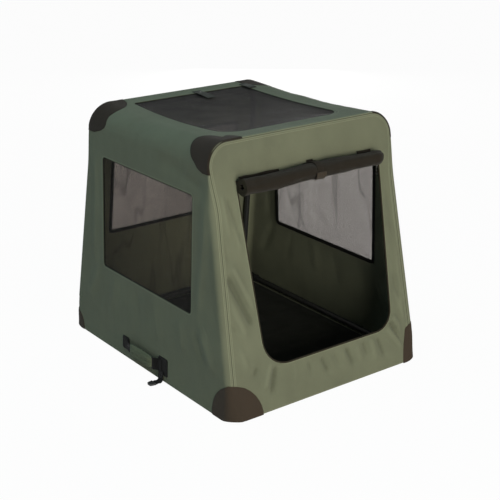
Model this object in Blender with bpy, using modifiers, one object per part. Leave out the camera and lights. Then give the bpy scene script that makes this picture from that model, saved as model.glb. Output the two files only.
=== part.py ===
"""Folding fabric dog crate, standing open with its door rolled up.

A fabric cover hangs on two hinged steel hoops that stand on a ring of base tubes.
Metres, +Z up, front towards -Y, origin in the middle of the underside.
"""
import bpy
import bmesh
from math import atan, ceil, cos, hypot, pi, radians, sin, sqrt, tan
from mathutils import Matrix, Vector

# Overall size of the cover
BASE_LENGTH = 0.760
BASE_WIDTH = 0.620
FRONT_HEIGHT = 0.665
REAR_HEIGHT = 0.6575
FRONT_SET_BACK = 0.127
REAR_SET_BACK = 0.104
SIDE_SET_IN = 0.025
SHOULDER_RADIUS = 0.062
SKIRT_HEIGHT = 0.100
SKIRT_CORNER_RADIUS = 0.006
ROOF_SAG = 0.010
CLOTH = 0.0025
MESH_CLOTH = 0.0012
GAP = 0.0003
EAVES_GAP = 0.0010
CUT_OVER = 0.003

# Windows and door opening, as heights above the ground and places along the wall
SIDE_WINDOW_LOW = 0.228
SIDE_WINDOW_FRONT = -0.203
SIDE_WINDOW_REAR = 0.213
REAR_WINDOW_LOW = 0.272
WINDOW_TOP_BAND = 0.1275
REAR_WINDOW_HALF_WIDTH = 0.205
WINDOW_CORNER_RADIUS = 0.018
ROOF_WINDOW_HALF_WIDTH = 0.182
ROOF_WINDOW_FRONT = -0.195
ROOF_WINDOW_REAR = 0.228
ROOF_WINDOW_CORNER_RADIUS = 0.035
DOOR_LOW = 0.108
HEADER_HEIGHT = 0.102
DOOR_LEFT_BORDER_LOW = 0.1199
DOOR_LEFT_BORDER_HIGH = 0.0760
DOOR_RIGHT_BORDER_LOW = 0.0789
DOOR_RIGHT_BORDER_HIGH = 0.0532
DOOR_CORNER_RADIUS = 0.055
DOOR_TOP_CORNER_RADIUS = 0.012

# Steel frame
TUBE_RADIUS = 0.008
TUBE_WALL = 0.001
HOOP_BEND_RADIUS = 0.050
FRONT_HOOP_BELOW_ROOF = 0.0150
REAR_HOOP_BELOW_ROOF = 0.0220
FRONT_PIVOT_HEIGHT = 0.085
REAR_PIVOT_HEIGHT = 0.050
HOOP_TO_COVER = 0.001
HUB_TO_COVER = 0.0007
FRONT_LEG_DEPTH = 0.015
HOOP_NESTING = 0.0195

# Corner fittings, knuckles, pins and buttons
FITTING_RADIUS = 0.0115
FITTING_BEND = 0.022
FITTING_ARM = 0.050
HUB_RADIUS = 0.014
KNUCKLE_THICKNESS = 0.018
CHEEK_THICKNESS = 0.006
BOSS_RADIUS = 0.0105
BOSS_LENGTH = 0.006
NECK_RADIUS = 0.0084
NECK_END = 0.024
SPIGOT_END = 0.048
SPIGOT_RADIUS = 0.0062
PIN_RADIUS = 0.004
BUTTON_RADIUS = 0.0072
BUTTON_LENGTH = 0.0085
BUTTON_TRAVEL = 0.0028
BUTTON_WELL = 0.0085
RUNNING_GAP = 0.0004

# Floor mat
MAT_THICKNESS = 0.006
MAT_CORNER_RADIUS = 0.030
MAT_EDGE_GAP = 0.0006

# Rolled door, its tie and its zips
ROLL_RADIUS = 0.0220
ROLL_LEFT_OVERLAP = 0.0030
ROLL_RIGHT_INSET = 0.0114
ROLL_BELOW_HEADER = 0.0085
ROLL_SHEET = 0.0030
ROLL_PITCH = 0.0046
ROLL_TURNS = 3.2
ROLL_POINTS_PER_TURN = 22
LEAF_SEAM_ABOVE_DOOR = 0.009
TIE_PLACE = 0.010
TIE_WIDTH = 0.020
TIE_THICKNESS = 0.0014
TIE_ABOVE_LEAF = 0.003
TIE_SEWN = 0.007
TIE_BEND = 0.005
TIE_LEAVES_ROLL = 84
TAB_ANGLE = -38
TAB_WIDTH = 0.030
TAB_HEIGHT = 0.022
TAB_THICKNESS = 0.0026
ZIP_WIDTH = 0.009
ZIP_THICKNESS = 0.0016
ZIP_LOW = 0.190
ZIP_BELOW_HEADER = 0.028
SLIDER_LENGTH = 0.013
SLIDER_WIDTH = 0.009
SLIDER_THICKNESS = 0.0042
PULL_LENGTH = 0.026
PULL_WIDTH = 0.006
PULL_THICKNESS = 0.0014

# Corner patches
PATCH_THICKNESS = 0.0012
TOP_PATCH_LIFT = 0.0007
TOP_PATCH_LENGTH = 0.076
TOP_PATCH_DOWN = 0.026
TOP_PATCH_OVER = 0.022
TOP_PATCH_NECK = 0.018
PATCH_FOOT_SHARE = 0.22
PATCH_CROWN_POWER = 2.4
FRONT_PATCH_SIDE_RUN = 0.072
FRONT_PATCH_LEFT_RUN = 0.092
FRONT_PATCH_RIGHT_RUN = 0.052
FRONT_PATCH_HEIGHT = 0.095
REAR_PATCH_RUN = 0.048
REAR_PATCH_HEIGHT = 0.054

# Carry handle and closing strap on the left side
HANDLE_HEIGHT = 0.043
ANCHOR_THICKNESS = 0.0025
FRONT_ANCHOR_FROM = -0.105
FRONT_ANCHOR_TO = -0.062
FRONT_ANCHOR_TALL = 0.050
REAR_ANCHOR_FROM = 0.080
REAR_ANCHOR_TO = 0.114
REAR_ANCHOR_TALL = 0.038
STRAP_WIDTH = 0.025
STRAP_THICKNESS = 0.0018
WEB_SEWN = 0.018
WEB_ENTRY = 0.004
GRIP_FROM = -0.050
GRIP_TO = 0.060
GRIP_TALL = 0.038
GRIP_THICKNESS = 0.010
GRIP_STAND_OFF = 0.0050
CLOSING_STRAP_PLACE = -0.078
CLOSING_STRAP_WIDTH = 0.020
CLOSING_STRAP_BELOW_HANDLE = 0.014
CLOSING_STRAP_REACH = 0.012
CLOSING_STRAP_BEND = 0.007
BUCKLE_LENGTH = 0.018
BUCKLE_WIDTH = 0.022
BUCKLE_THICKNESS = 0.005

# Webbing ties on the roof window
ROOF_TIE_WIDTH = 0.026
ROOF_TIE_REAR_OVERLAP = 0.014
MIDDLE_TIE_PLACE = 0.029
MIDDLE_TIE_LENGTH = 0.080
RIGHT_TIE_PLACE = 0.188
RIGHT_TIE_LENGTH = 0.052

# Facets
TUBE_BEVEL_RESOLUTION = 4
BEND_STEPS = 7
SHOULDER_STEPS = 6
ROOF_STEPS = 8
ROUND_SIDES = 24
CORNER_STEPS = 5
ROUND_END_STEPS = 10

FRONT_SLOPE = FRONT_SET_BACK / FRONT_HEIGHT
REAR_SLOPE = REAR_SET_BACK / REAR_HEIGHT
SIDE_SLOPE = SIDE_SET_IN / FRONT_HEIGHT
FRONT_HOOP_TOP = FRONT_HEIGHT - FRONT_HOOP_BELOW_ROOF
REAR_HOOP_TOP = REAR_HEIGHT - REAR_HOOP_BELOW_ROOF
DOOR_HIGH = FRONT_HEIGHT - HEADER_HEIGHT
ROLL_HEIGHT = DOOR_HIGH - ROLL_BELOW_HEADER
LEAF_SEAM_HEIGHT = DOOR_HIGH + LEAF_SEAM_ABOVE_DOOR
ZIP_HIGH = DOOR_HIGH - ZIP_BELOW_HEADER
SIDE_WINDOW_HIGH = min(FRONT_HEIGHT, REAR_HEIGHT) - WINDOW_TOP_BAND
REAR_WINDOW_HIGH = REAR_HEIGHT - WINDOW_TOP_BAND

OLIVE = (0.135, 0.150, 0.085)
DARK_BROWN = (0.035, 0.026, 0.020)
WEBBING_BLACK = (0.012, 0.012, 0.011)
MESH_GREY = (0.050, 0.047, 0.043)
MAT_BLACK = (0.014, 0.015, 0.013)
COATED_STEEL = (0.030, 0.031, 0.032)
PLASTIC_BLACK = (0.016, 0.016, 0.016)
BRIGHT_STEEL = (0.550, 0.550, 0.540)
GRIP_GREEN = (0.075, 0.090, 0.060)


def make_collection(name):
    collection = bpy.data.collections.new(name)
    bpy.context.scene.collection.children.link(collection)
    return collection


def clear_scene():
    for obj in list(bpy.data.objects):
        bpy.data.objects.remove(obj, do_unlink=True)


def paint(obj, colour, roughness, metallic=0.0):
    material = bpy.data.materials.new(obj.name + "_finish")
    material.use_nodes = True
    shader = material.node_tree.nodes["Principled BSDF"]
    shader.inputs["Base Color"].default_value = (*colour, 1.0)
    shader.inputs["Roughness"].default_value = roughness
    shader.inputs["Metallic"].default_value = metallic
    material.diffuse_color = (*colour, 1.0)
    obj.data.materials.clear()
    obj.data.materials.append(material)


def link_mesh(name, bm, collection):
    mesh = bpy.data.meshes.new(name)
    bm.to_mesh(mesh)
    bm.free()
    obj = bpy.data.objects.new(name, mesh)
    collection.objects.link(obj)
    return obj


def make_guide(obj):
    obj.hide_render = True
    obj.display_type = "WIRE"
    return obj


def combine(obj, others, operation):
    """Join or cut obj with guide solids, each through its own Boolean."""
    for other in others:
        modifier = obj.modifiers.new(operation.lower(), "BOOLEAN")
        modifier.operation = operation
        modifier.solver = "EXACT"
        modifier.object = make_guide(other)


def face_matrix(origin, across, up):
    """A frame whose X runs across a panel, Y up it and Z out of it."""
    out = across.cross(up)
    matrix = Matrix((across, up, out)).transposed().to_4x4()
    matrix.translation = origin
    return matrix


def axis_matrix(origin, direction):
    """A frame whose Z runs along a direction."""
    matrix = direction.to_track_quat("Z", "Y").to_matrix().to_4x4()
    matrix.translation = origin
    return matrix


# Surfaces of the cover: a depth is measured inwards, square to the outer face

def front_y(z, depth=0.0):
    return -BASE_LENGTH / 2 + FRONT_SLOPE * z + depth * hypot(1, FRONT_SLOPE)


def rear_y(z, depth=0.0):
    return BASE_LENGTH / 2 - REAR_SLOPE * z - depth * hypot(1, REAR_SLOPE)


def side_x(z, depth=0.0):
    return BASE_WIDTH / 2 - SIDE_SLOPE * z - depth * hypot(1, SIDE_SLOPE)


def front_frame(depth):
    up = Vector((0, FRONT_SLOPE, 1)).normalized()
    return face_matrix(Vector((0, front_y(0, depth), 0)), Vector((1, 0, 0)), up)


def rear_frame(depth):
    up = Vector((0, -REAR_SLOPE, 1)).normalized()
    return face_matrix(Vector((0, rear_y(0, depth), 0)), Vector((-1, 0, 0)), up)


def side_frame(side, depth):
    up = Vector((-side * SIDE_SLOPE, 0, 1)).normalized()
    return face_matrix(Vector((side * side_x(0, depth), 0, 0)), Vector((0, side, 0)), up)


def eaves_height(y):
    """Height of the roof's outer face, without sag, between the two hoops."""
    front = front_y(FRONT_HEIGHT)
    share = (y - front) / (rear_y(REAR_HEIGHT) - front)
    return FRONT_HEIGHT + (REAR_HEIGHT - FRONT_HEIGHT) * share


def shoulder_start(height):
    """Height at which the flat side wall turns into the rounded shoulder."""
    return height - SHOULDER_RADIUS * (1 - sin(atan(SIDE_SLOPE)))


def section(distance, height, depth, sag):
    """Point x, z on the cover's right half, by distance up from the shoulder's start."""
    lean = atan(SIDE_SLOPE)
    arc = SHOULDER_RADIUS * (pi / 2 - lean)
    centre_z = height - SHOULDER_RADIUS
    centre_x = side_x(centre_z, SHOULDER_RADIUS)
    radius = SHOULDER_RADIUS - depth
    if distance < 0:
        x = centre_x + radius * cos(lean) - distance * sin(lean)
        z = centre_z + radius * sin(lean) + distance * cos(lean)
        return x, z
    angle = lean + min(distance, arc) / SHOULDER_RADIUS
    x = centre_x + radius * cos(angle) - max(distance - arc, 0.0)
    z = centre_z + radius * sin(angle)
    drop = sag * (angle - lean) / (pi / 2 - lean)
    return x, z - drop


def section_half_length(height):
    lean = atan(SIDE_SLOPE)
    arc = SHOULDER_RADIUS * (pi / 2 - lean)
    return arc + side_x(height - SHOULDER_RADIUS, SHOULDER_RADIUS)


def cover_point(distance, along, depth, edge_depth):
    """Point on the roof's right half; along runs from 0 at the front to 1 at the rear."""
    start = front_y(FRONT_HEIGHT)
    guess = start + (rear_y(REAR_HEIGHT) - start) * along
    sag = ROOF_SAG * 4 * along * (1 - along)
    x, z = section(distance, eaves_height(guess), depth, sag)
    front = front_y(z, edge_depth)
    y = front + (rear_y(z, edge_depth) - front) * along
    return Vector((x, y, z))


# Builders

def arc_points(corner, before, after, radius, steps):
    """Round one corner of a path in any plane."""
    to_before = (before - corner).normalized()
    to_after = (after - corner).normalized()
    half = to_before.angle(to_after) / 2
    limit = 0.49 * min((before - corner).length, (after - corner).length)
    cut = min(radius / tan(half), limit)
    radius = cut * tan(half)
    centre = corner + (to_before + to_after).normalized() * (radius / sin(half))
    start = corner + to_before * cut - centre
    end = corner + to_after * cut - centre
    sweep = pi - 2 * half
    points = []
    for step in range(steps + 1):
        share = step / steps
        mix = start * sin((1 - share) * sweep) + end * sin(share * sweep)
        points.append(centre + mix / sin(sweep))
    return points


def rounded_outline(corners, radii, steps=CORNER_STEPS):
    """Closed 2D outline through corners, each rounded by its own radius."""
    points = []
    count = len(corners)
    for index, corner in enumerate(corners):
        here = Vector((*corner, 0))
        before = Vector((*corners[index - 1], 0))
        after = Vector((*corners[(index + 1) % count], 0))
        if radii[index] > 0:
            points += arc_points(here, before, after, radii[index], steps)
        else:
            points.append(here)
    return [(point.x, point.y) for point in points]


def plate(name, outlines, thickness, matrix, collection):
    """Flat sheet from an outer outline and any holes, centred on its frame."""
    curve = bpy.data.curves.new(name, "CURVE")
    curve.dimensions = "2D"
    curve.fill_mode = "BOTH"
    curve.extrude = thickness / 2
    for outline in outlines:
        spline = curve.splines.new("POLY")
        spline.points.add(len(outline) - 1)
        for point, place in zip(spline.points, outline):
            point.co = (place[0], place[1], 0, 1)
        spline.use_cyclic_u = True
    obj = bpy.data.objects.new(name, curve)
    obj.matrix_world = matrix
    collection.objects.link(obj)
    return obj


def curve_to_mesh(obj, collection):
    """Replace a curve object by the mesh that it shows, with its doubles merged."""
    bpy.context.view_layer.update()
    shown = obj.evaluated_get(bpy.context.evaluated_depsgraph_get())
    mesh = bpy.data.meshes.new_from_object(shown)
    bm = bmesh.new()
    bm.from_mesh(mesh)
    bmesh.ops.remove_doubles(bm, verts=bm.verts, dist=0.00001)
    bm.to_mesh(mesh)
    bm.free()
    name = obj.name
    matrix = obj.matrix_world.copy()
    bpy.data.objects.remove(obj, do_unlink=True)
    solid = bpy.data.objects.new(name, mesh)
    solid.matrix_world = matrix
    collection.objects.link(solid)
    return solid


def path_normals(path):
    normals = []
    for index, point in enumerate(path):
        before = path[max(index - 1, 0)]
        after = path[min(index + 1, len(path) - 1)]
        run_in = Vector((point[0] - before[0], point[1] - before[1]))
        run_out = Vector((after[0] - point[0], after[1] - point[1]))
        if index == 0:
            run_in = run_out
        if index == len(path) - 1:
            run_out = run_in
        tangent = run_in.normalized() + run_out.normalized()
        tangent.normalize()
        stretch = 1 / max(tangent.dot(run_in.normalized()), 0.5)
        normals.append((-tangent.y * stretch, tangent.x * stretch))
    return normals


def ribbon(name, path, thickness, width, matrix, collection):
    """Strip of cloth or webbing whose edge follows a path in its frame's plane."""
    half = thickness / 2
    normals = path_normals(path)
    left = [(p[0] + n[0] * half, p[1] + n[1] * half) for p, n in zip(path, normals)]
    right = [(p[0] - n[0] * half, p[1] - n[1] * half) for p, n in zip(path, normals)]
    return plate(name, [left + right[::-1]], width, matrix, collection)


def tube(name, points, radius, wall, collection):
    """Open-ended tube along a path, outer radius given."""
    curve = bpy.data.curves.new(name, "CURVE")
    curve.dimensions = "3D"
    curve.bevel_depth = radius
    curve.bevel_resolution = TUBE_BEVEL_RESOLUTION
    curve.use_fill_caps = wall == 0
    spline = curve.splines.new("POLY")
    spline.points.add(len(points) - 1)
    for point, place in zip(spline.points, points):
        point.co = (*place, 1)
    obj = bpy.data.objects.new(name, curve)
    collection.objects.link(obj)
    obj = curve_to_mesh(obj, collection)
    if wall > 0:
        shell = obj.modifiers.new("wall", "SOLIDIFY")
        shell.thickness = wall
        shell.offset = -1
    return obj


def cylinder(name, start, end, radius, collection, sides=ROUND_SIDES):
    bm = bmesh.new()
    length = (end - start).length
    bmesh.ops.create_cone(
        bm, cap_ends=True, segments=sides, radius1=radius, radius2=radius, depth=length
    )
    matrix = axis_matrix((start + end) / 2, (end - start).normalized())
    bmesh.ops.transform(bm, matrix=matrix, verts=bm.verts)
    return link_mesh(name, bm, collection)


def block(name, low, high, collection):
    bm = bmesh.new()
    bmesh.ops.create_cube(bm, size=1)
    size = Vector(high) - Vector(low)
    bmesh.ops.scale(bm, vec=size, verts=bm.verts)
    bmesh.ops.translate(bm, vec=(Vector(low) + Vector(high)) / 2, verts=bm.verts)
    return link_mesh(name, bm, collection)


def smooth(obj, degrees=35):
    obj.data.shade_smooth()
    obj.data.set_sharp_from_angle(angle=radians(degrees))


def pivot_empty(name, place, collection):
    empty = bpy.data.objects.new(name, None)
    empty.empty_display_size = 0.03
    empty.location = place
    collection.objects.link(empty)
    return empty


def hang(obj, empty):
    """Parent a piece to its joint's empty and leave it where it is."""
    bpy.context.view_layer.update()
    obj.parent = empty
    obj.matrix_parent_inverse = empty.matrix_world.inverted()


# Base

def make_tray(crate):
    """Floor and low skirt in one open-topped shell."""
    bm = bmesh.new()
    bmesh.ops.create_cube(bm, size=1)
    for vert in bm.verts:
        z = SKIRT_HEIGHT if vert.co.z > 0 else 0.0
        x = side_x(z) if vert.co.x > 0 else -side_x(z)
        y = rear_y(z) if vert.co.y > 0 else front_y(z)
        vert.co = (x, y, z)
    top = [face for face in bm.faces if face.normal.z > 0.9]
    bmesh.ops.delete(bm, geom=top, context="FACES_ONLY")
    edges = []
    for edge in bm.edges:
        rise = abs(edge.verts[0].co.z - edge.verts[1].co.z)
        if rise > SKIRT_HEIGHT / 2:
            edges.append(edge)
    bmesh.ops.bevel(
        bm, geom=edges, offset=SKIRT_CORNER_RADIUS, offset_type="OFFSET",
        segments=4, profile=0.5, affect="EDGES"
    )
    tray = link_mesh("base_tray", bm, crate)
    shell = tray.modifiers.new("cloth", "SOLIDIFY")
    shell.thickness = CLOTH
    shell.offset = -1
    shell.use_even_offset = True
    paint(tray, OLIVE, 0.85)


def ring_place():
    """Centre lines of the base tubes: x of the sides, y of front and rear, height."""
    height = CLOTH + GAP + FITTING_RADIUS
    depth = CLOTH + GAP + FITTING_RADIUS
    return side_x(height, depth), front_y(height, depth), rear_y(height, depth), height


def make_mat(crate):
    ring_x, ring_front, ring_rear, _ = ring_place()
    margin = FITTING_RADIUS + MAT_EDGE_GAP
    x = ring_x - margin
    low = ring_front + margin
    high = ring_rear - margin
    corners = [(-x, low), (x, low), (x, high), (-x, high)]
    outline = rounded_outline(corners, [MAT_CORNER_RADIUS] * 4)
    middle = Matrix.Translation((0, 0, CLOTH + GAP + MAT_THICKNESS / 2))
    mat = plate("floor_mat", [outline], MAT_THICKNESS, middle, crate)
    paint(mat, MAT_BLACK, 0.95)


def make_base_tubes(crate):
    ring_x, ring_front, ring_rear, z = ring_place()
    inset = FITTING_BEND + 2 * GAP
    runs = {
        "base_tube_left": ((-ring_x, ring_front + inset, z), (-ring_x, ring_rear - inset, z)),
        "base_tube_right": ((ring_x, ring_front + inset, z), (ring_x, ring_rear - inset, z)),
        "base_tube_front": ((-ring_x + inset, ring_front, z), (ring_x - inset, ring_front, z)),
        "base_tube_rear": ((-ring_x + inset, ring_rear, z), (ring_x - inset, ring_rear, z)),
    }
    for name, ends in runs.items():
        obj = tube(name, [Vector(end) for end in ends], TUBE_RADIUS, TUBE_WALL, crate)
        smooth(obj)
        paint(obj, COATED_STEEL, 0.45)


# Hinges

def leg_x(z, depth):
    return side_x(z, depth)


def hinge_place(end):
    """Pivot point of the right-hand hinge at the front or rear."""
    depth = CLOTH + HUB_TO_COVER + HUB_RADIUS + GAP
    if end == "front":
        z = FRONT_PIVOT_HEIGHT
        return Vector((leg_x(z, FRONT_LEG_DEPTH), front_y(z, depth), z))
    z = REAR_PIVOT_HEIGHT
    return Vector((leg_x(z, FRONT_LEG_DEPTH + HOOP_NESTING), rear_y(z, depth), z))


def hoop_corner(end):
    """Where a hoop's leg and crossbar would meet without the bend, right-hand side."""
    depth = CLOTH + HOOP_TO_COVER + TUBE_RADIUS
    if end == "front":
        z = FRONT_HOOP_TOP
        return Vector((leg_x(z, FRONT_LEG_DEPTH), front_y(z, depth), z))
    z = REAR_HOOP_TOP
    return Vector((leg_x(z, FRONT_LEG_DEPTH + HOOP_NESTING), rear_y(z, depth), z))


def mirrored(point, side):
    return Vector((side * point.x, point.y, point.z))


def make_corner_fitting(end, side, name, crate, guides):
    """Moulded corner: two tube sockets and the cheek that carries the hinge."""
    ring_x, ring_front, ring_rear, ring_z = ring_place()
    ring_y = ring_front if end == "front" else ring_rear
    inward = 1 if end == "front" else -1
    corner = Vector((side * ring_x, ring_y, ring_z))
    along_side = corner + Vector((0, inward * FITTING_ARM, 0))
    along_end = corner + Vector((-side * FITTING_ARM, 0, 0))
    bend = arc_points(corner, along_side, along_end, FITTING_BEND, BEND_STEPS)
    fitting = tube(name, [along_side] + bend + [along_end], FITTING_RADIUS, 0, crate)

    pivot = mirrored(hinge_place(end), side)
    cheek_out = pivot.x - side * (KNUCKLE_THICKNESS / 2 + RUNNING_GAP)
    cheek_in = cheek_out - side * CHEEK_THICKNESS
    boss_in = cheek_in - side * BOSS_LENGTH
    low_x, high_x = sorted((cheek_in, cheek_out))
    foot = CLOTH + GAP + MAT_THICKNESS + GAP
    plate_low = (low_x, pivot.y - HUB_RADIUS, foot)
    plate_high = (high_x, pivot.y + HUB_RADIUS, pivot.z)
    cheek = block(name + "_cheek", plate_low, plate_high, guides)
    ear = cylinder(
        name + "_ear", Vector((cheek_in, pivot.y, pivot.z)),
        Vector((cheek_out, pivot.y, pivot.z)), HUB_RADIUS, guides
    )
    boss = cylinder(
        name + "_boss", Vector((boss_in, pivot.y, pivot.z)),
        Vector(((cheek_in + cheek_out) / 2, pivot.y, pivot.z)), BOSS_RADIUS, guides
    )
    combine(fitting, [cheek, ear, boss], "UNION")

    bore = TUBE_RADIUS + RUNNING_GAP
    deep = FITTING_ARM + CUT_OVER
    socket_side = cylinder(
        name + "_socket_side", corner + Vector((0, inward * FITTING_BEND, 0)),
        corner + Vector((0, inward * deep, 0)), bore, guides
    )
    socket_end = cylinder(
        name + "_socket_end", corner + Vector((-side * FITTING_BEND, 0, 0)),
        corner + Vector((-side * deep, 0, 0)), bore, guides
    )
    pin_hole = cylinder(
        name + "_pin_hole", Vector((cheek_out + side * CUT_OVER, pivot.y, pivot.z)),
        Vector((boss_in - side * CUT_OVER, pivot.y, pivot.z)), PIN_RADIUS + RUNNING_GAP, guides
    )
    well = cylinder(
        name + "_well", Vector((boss_in + side * BUTTON_WELL, pivot.y, pivot.z)),
        Vector((boss_in - side * CUT_OVER, pivot.y, pivot.z)), BUTTON_RADIUS + RUNNING_GAP, guides
    )
    combine(fitting, [socket_side, socket_end, pin_hole, well], "DIFFERENCE")
    paint(fitting, PLASTIC_BLACK, 0.45)


def make_knuckle(end, side, name, pivot_object, crate, guides):
    """Disc on the hinge pin with a neck and a spigot that plugs into the leg."""
    pivot = mirrored(hinge_place(end), side)
    towards = (mirrored(hoop_corner(end), side) - pivot).normalized()
    half = Vector((KNUCKLE_THICKNESS / 2, 0, 0))
    disc = cylinder(name, pivot - half, pivot + half, HUB_RADIUS, crate)
    neck = cylinder(name + "_neck", pivot, pivot + towards * NECK_END, NECK_RADIUS, guides)
    spigot = cylinder(
        name + "_spigot", pivot + towards * (NECK_END - CUT_OVER),
        pivot + towards * SPIGOT_END, SPIGOT_RADIUS, guides, sides=16
    )
    hole = cylinder(
        name + "_hole", pivot - half * 1.5, pivot + half * 1.5, PIN_RADIUS + RUNNING_GAP, guides
    )
    combine(disc, [neck, spigot], "UNION")
    combine(disc, [hole], "DIFFERENCE")
    paint(disc, PLASTIC_BLACK, 0.45)
    hang(disc, pivot_object)


def make_pin_and_button(end, side, corner_name, crate):
    pivot = mirrored(hinge_place(end), side)
    cheek_in = pivot.x - side * (KNUCKLE_THICKNESS / 2 + RUNNING_GAP + CHEEK_THICKNESS)
    boss_in = cheek_in - side * BOSS_LENGTH
    floor = boss_in + side * BUTTON_WELL
    pin_start = Vector((pivot.x + side * (KNUCKLE_THICKNESS / 2 - GAP), pivot.y, pivot.z))
    pin_end = Vector((floor + side * GAP, pivot.y, pivot.z))
    pin = cylinder("hinge_pin_" + corner_name, pin_start, pin_end, PIN_RADIUS, crate)
    smooth(pin)
    paint(pin, BRIGHT_STEEL, 0.3, 1.0)
    inner = floor - side * (BUTTON_TRAVEL + GAP)
    centre = pivot_empty(
        "button_axis_" + corner_name, (inner - side * BUTTON_LENGTH / 2, pivot.y, pivot.z), crate
    )
    button = cylinder(
        "lock_button_" + corner_name, Vector((inner, pivot.y, pivot.z)),
        Vector((inner - side * BUTTON_LENGTH, pivot.y, pivot.z)), BUTTON_RADIUS, crate
    )
    smooth(button)
    paint(button, BRIGHT_STEEL, 0.35, 1.0)
    hang(button, centre)


def make_hoop(end, name, pivot_object, crate):
    """Bent tube from one knuckle over the top to the other."""
    pivot = hinge_place(end)
    corner = hoop_corner(end)
    towards = (corner - pivot).normalized()
    foot = pivot + towards * (NECK_END + GAP)
    other = mirrored(corner, -1)
    bend = arc_points(corner, foot, (corner + other) / 2, HOOP_BEND_RADIUS, BEND_STEPS)
    right = [foot] + bend
    left = [mirrored(point, -1) for point in reversed(right)]
    hoop = tube(name, right + left, TUBE_RADIUS, TUBE_WALL, crate)
    smooth(hoop)
    paint(hoop, COATED_STEEL, 0.45)
    hang(hoop, pivot_object)


# Cover

def panel_outline(height, top):
    """Front or rear panel in its own plane: x across, slant length up."""
    stretch = hypot(1, top)
    low = SKIRT_HEIGHT + GAP
    corners = [
        (-side_x(low), low * stretch), (side_x(low), low * stretch),
        (side_x(height), height * stretch), (-side_x(height), height * stretch),
    ]
    return rounded_outline(corners, [0, 0, SHOULDER_RADIUS, SHOULDER_RADIUS], SHOULDER_STEPS)


def door_outline():
    stretch = hypot(1, FRONT_SLOPE)
    corners = [
        (door_edge(-1, DOOR_LOW), DOOR_LOW * stretch), (door_edge(1, DOOR_LOW), DOOR_LOW * stretch),
        (door_edge(1, DOOR_HIGH), DOOR_HIGH * stretch),
        (door_edge(-1, DOOR_HIGH), DOOR_HIGH * stretch),
    ]
    low, high = DOOR_CORNER_RADIUS, DOOR_TOP_CORNER_RADIUS
    return rounded_outline(corners, [low, low, high, high])


def make_front_panel(pivot_object, crate):
    outlines = [panel_outline(FRONT_HEIGHT, FRONT_SLOPE), door_outline()]
    panel = plate("front_panel", outlines, CLOTH, front_frame(CLOTH / 2), crate)
    paint(panel, OLIVE, 0.85)
    hang(panel, pivot_object)


def window_outline(low, high, start, end, stretch, shrink=0.0):
    corners = [
        (start + shrink, low * stretch + shrink), (end - shrink, low * stretch + shrink),
        (end - shrink, high * stretch - shrink), (start + shrink, high * stretch - shrink),
    ]
    return rounded_outline(corners, [WINDOW_CORNER_RADIUS - shrink] * 4)


def make_rear_panel(pivot_object, crate):
    stretch = hypot(1, REAR_SLOPE)
    span = (REAR_WINDOW_LOW, REAR_WINDOW_HIGH, -REAR_WINDOW_HALF_WIDTH, REAR_WINDOW_HALF_WIDTH)
    outlines = [panel_outline(REAR_HEIGHT, REAR_SLOPE), window_outline(*span, stretch)]
    panel = plate("rear_panel", outlines, CLOTH, rear_frame(CLOTH / 2), crate)
    paint(panel, OLIVE, 0.85)
    hang(panel, pivot_object)
    pane = window_outline(*span, stretch, GAP)
    window = plate("rear_window", [pane], MESH_CLOTH, rear_frame(CLOTH / 2), crate)
    paint(window, MESH_GREY, 0.9)
    hang(window, pivot_object)


def make_side(side, label, crate):
    stretch = hypot(1, SIDE_SLOPE)
    low = SKIRT_HEIGHT + GAP
    edge = CLOTH + GAP
    front_top = shoulder_start(FRONT_HEIGHT) - EAVES_GAP
    rear_top = shoulder_start(REAR_HEIGHT) - EAVES_GAP
    corners = [
        (side * front_y(low, edge), low * stretch), (side * rear_y(low, edge), low * stretch),
        (side * rear_y(rear_top, edge), rear_top * stretch),
        (side * front_y(front_top, edge), front_top * stretch),
    ]
    ends = sorted((side * SIDE_WINDOW_FRONT, side * SIDE_WINDOW_REAR))
    span = (SIDE_WINDOW_LOW, SIDE_WINDOW_HIGH, *ends)
    outlines = [corners, window_outline(*span, stretch)]
    wall = plate("side_wall_" + label, outlines, CLOTH, side_frame(side, CLOTH / 2), crate)
    paint(wall, OLIVE, 0.85)
    pane = window_outline(*span, stretch, GAP)
    window = plate("side_window_" + label, [pane], MESH_CLOTH, side_frame(side, CLOTH / 2), crate)
    paint(window, MESH_GREY, 0.9)


def roof_sheet(name, depth, thickness, collection):
    """Whole roof from eave to eave with its rounded shoulders, as a thin shell."""
    edge = CLOTH + GAP
    half = section_half_length(FRONT_HEIGHT)
    arc = SHOULDER_RADIUS * (pi / 2 - atan(SIDE_SLOPE))
    stations = [arc * step / SHOULDER_STEPS for step in range(SHOULDER_STEPS)]
    flat = ROOF_STEPS // 2
    stations += [arc + (half - arc) * step / flat for step in range(flat + 1)]
    across = len(stations) * 2 - 1
    bm = bmesh.new()
    bmesh.ops.create_grid(bm, x_segments=across - 1, y_segments=ROOF_STEPS, size=0.5)
    for vert in bm.verts:
        column = round((vert.co.x + 0.5) * (across - 1))
        along = vert.co.y + 0.5
        index = min(column, across - 1 - column)
        point = cover_point(stations[index], along, depth, edge)
        sign = 1 if column > across // 2 else -1
        if index == len(stations) - 1:
            point.x = 0.0
        vert.co = (sign * point.x, point.y, point.z)
    sheet = link_mesh(name, bm, collection)
    shell = sheet.modifiers.new("cloth", "SOLIDIFY")
    shell.thickness = thickness
    shell.offset = -1
    return sheet


def roof_cutter(name, shrink, guides):
    x = ROOF_WINDOW_HALF_WIDTH - shrink
    low = ROOF_WINDOW_FRONT + shrink
    high = ROOF_WINDOW_REAR - shrink
    outline = rounded_outline(
        [(-x, low), (x, low), (x, high), (-x, high)], [ROOF_WINDOW_CORNER_RADIUS - shrink] * 4
    )
    middle = Matrix.Translation((0, 0, FRONT_HEIGHT))
    cutter = plate(name, [outline], FRONT_HEIGHT / 2, middle, guides)
    return curve_to_mesh(cutter, guides)


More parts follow.
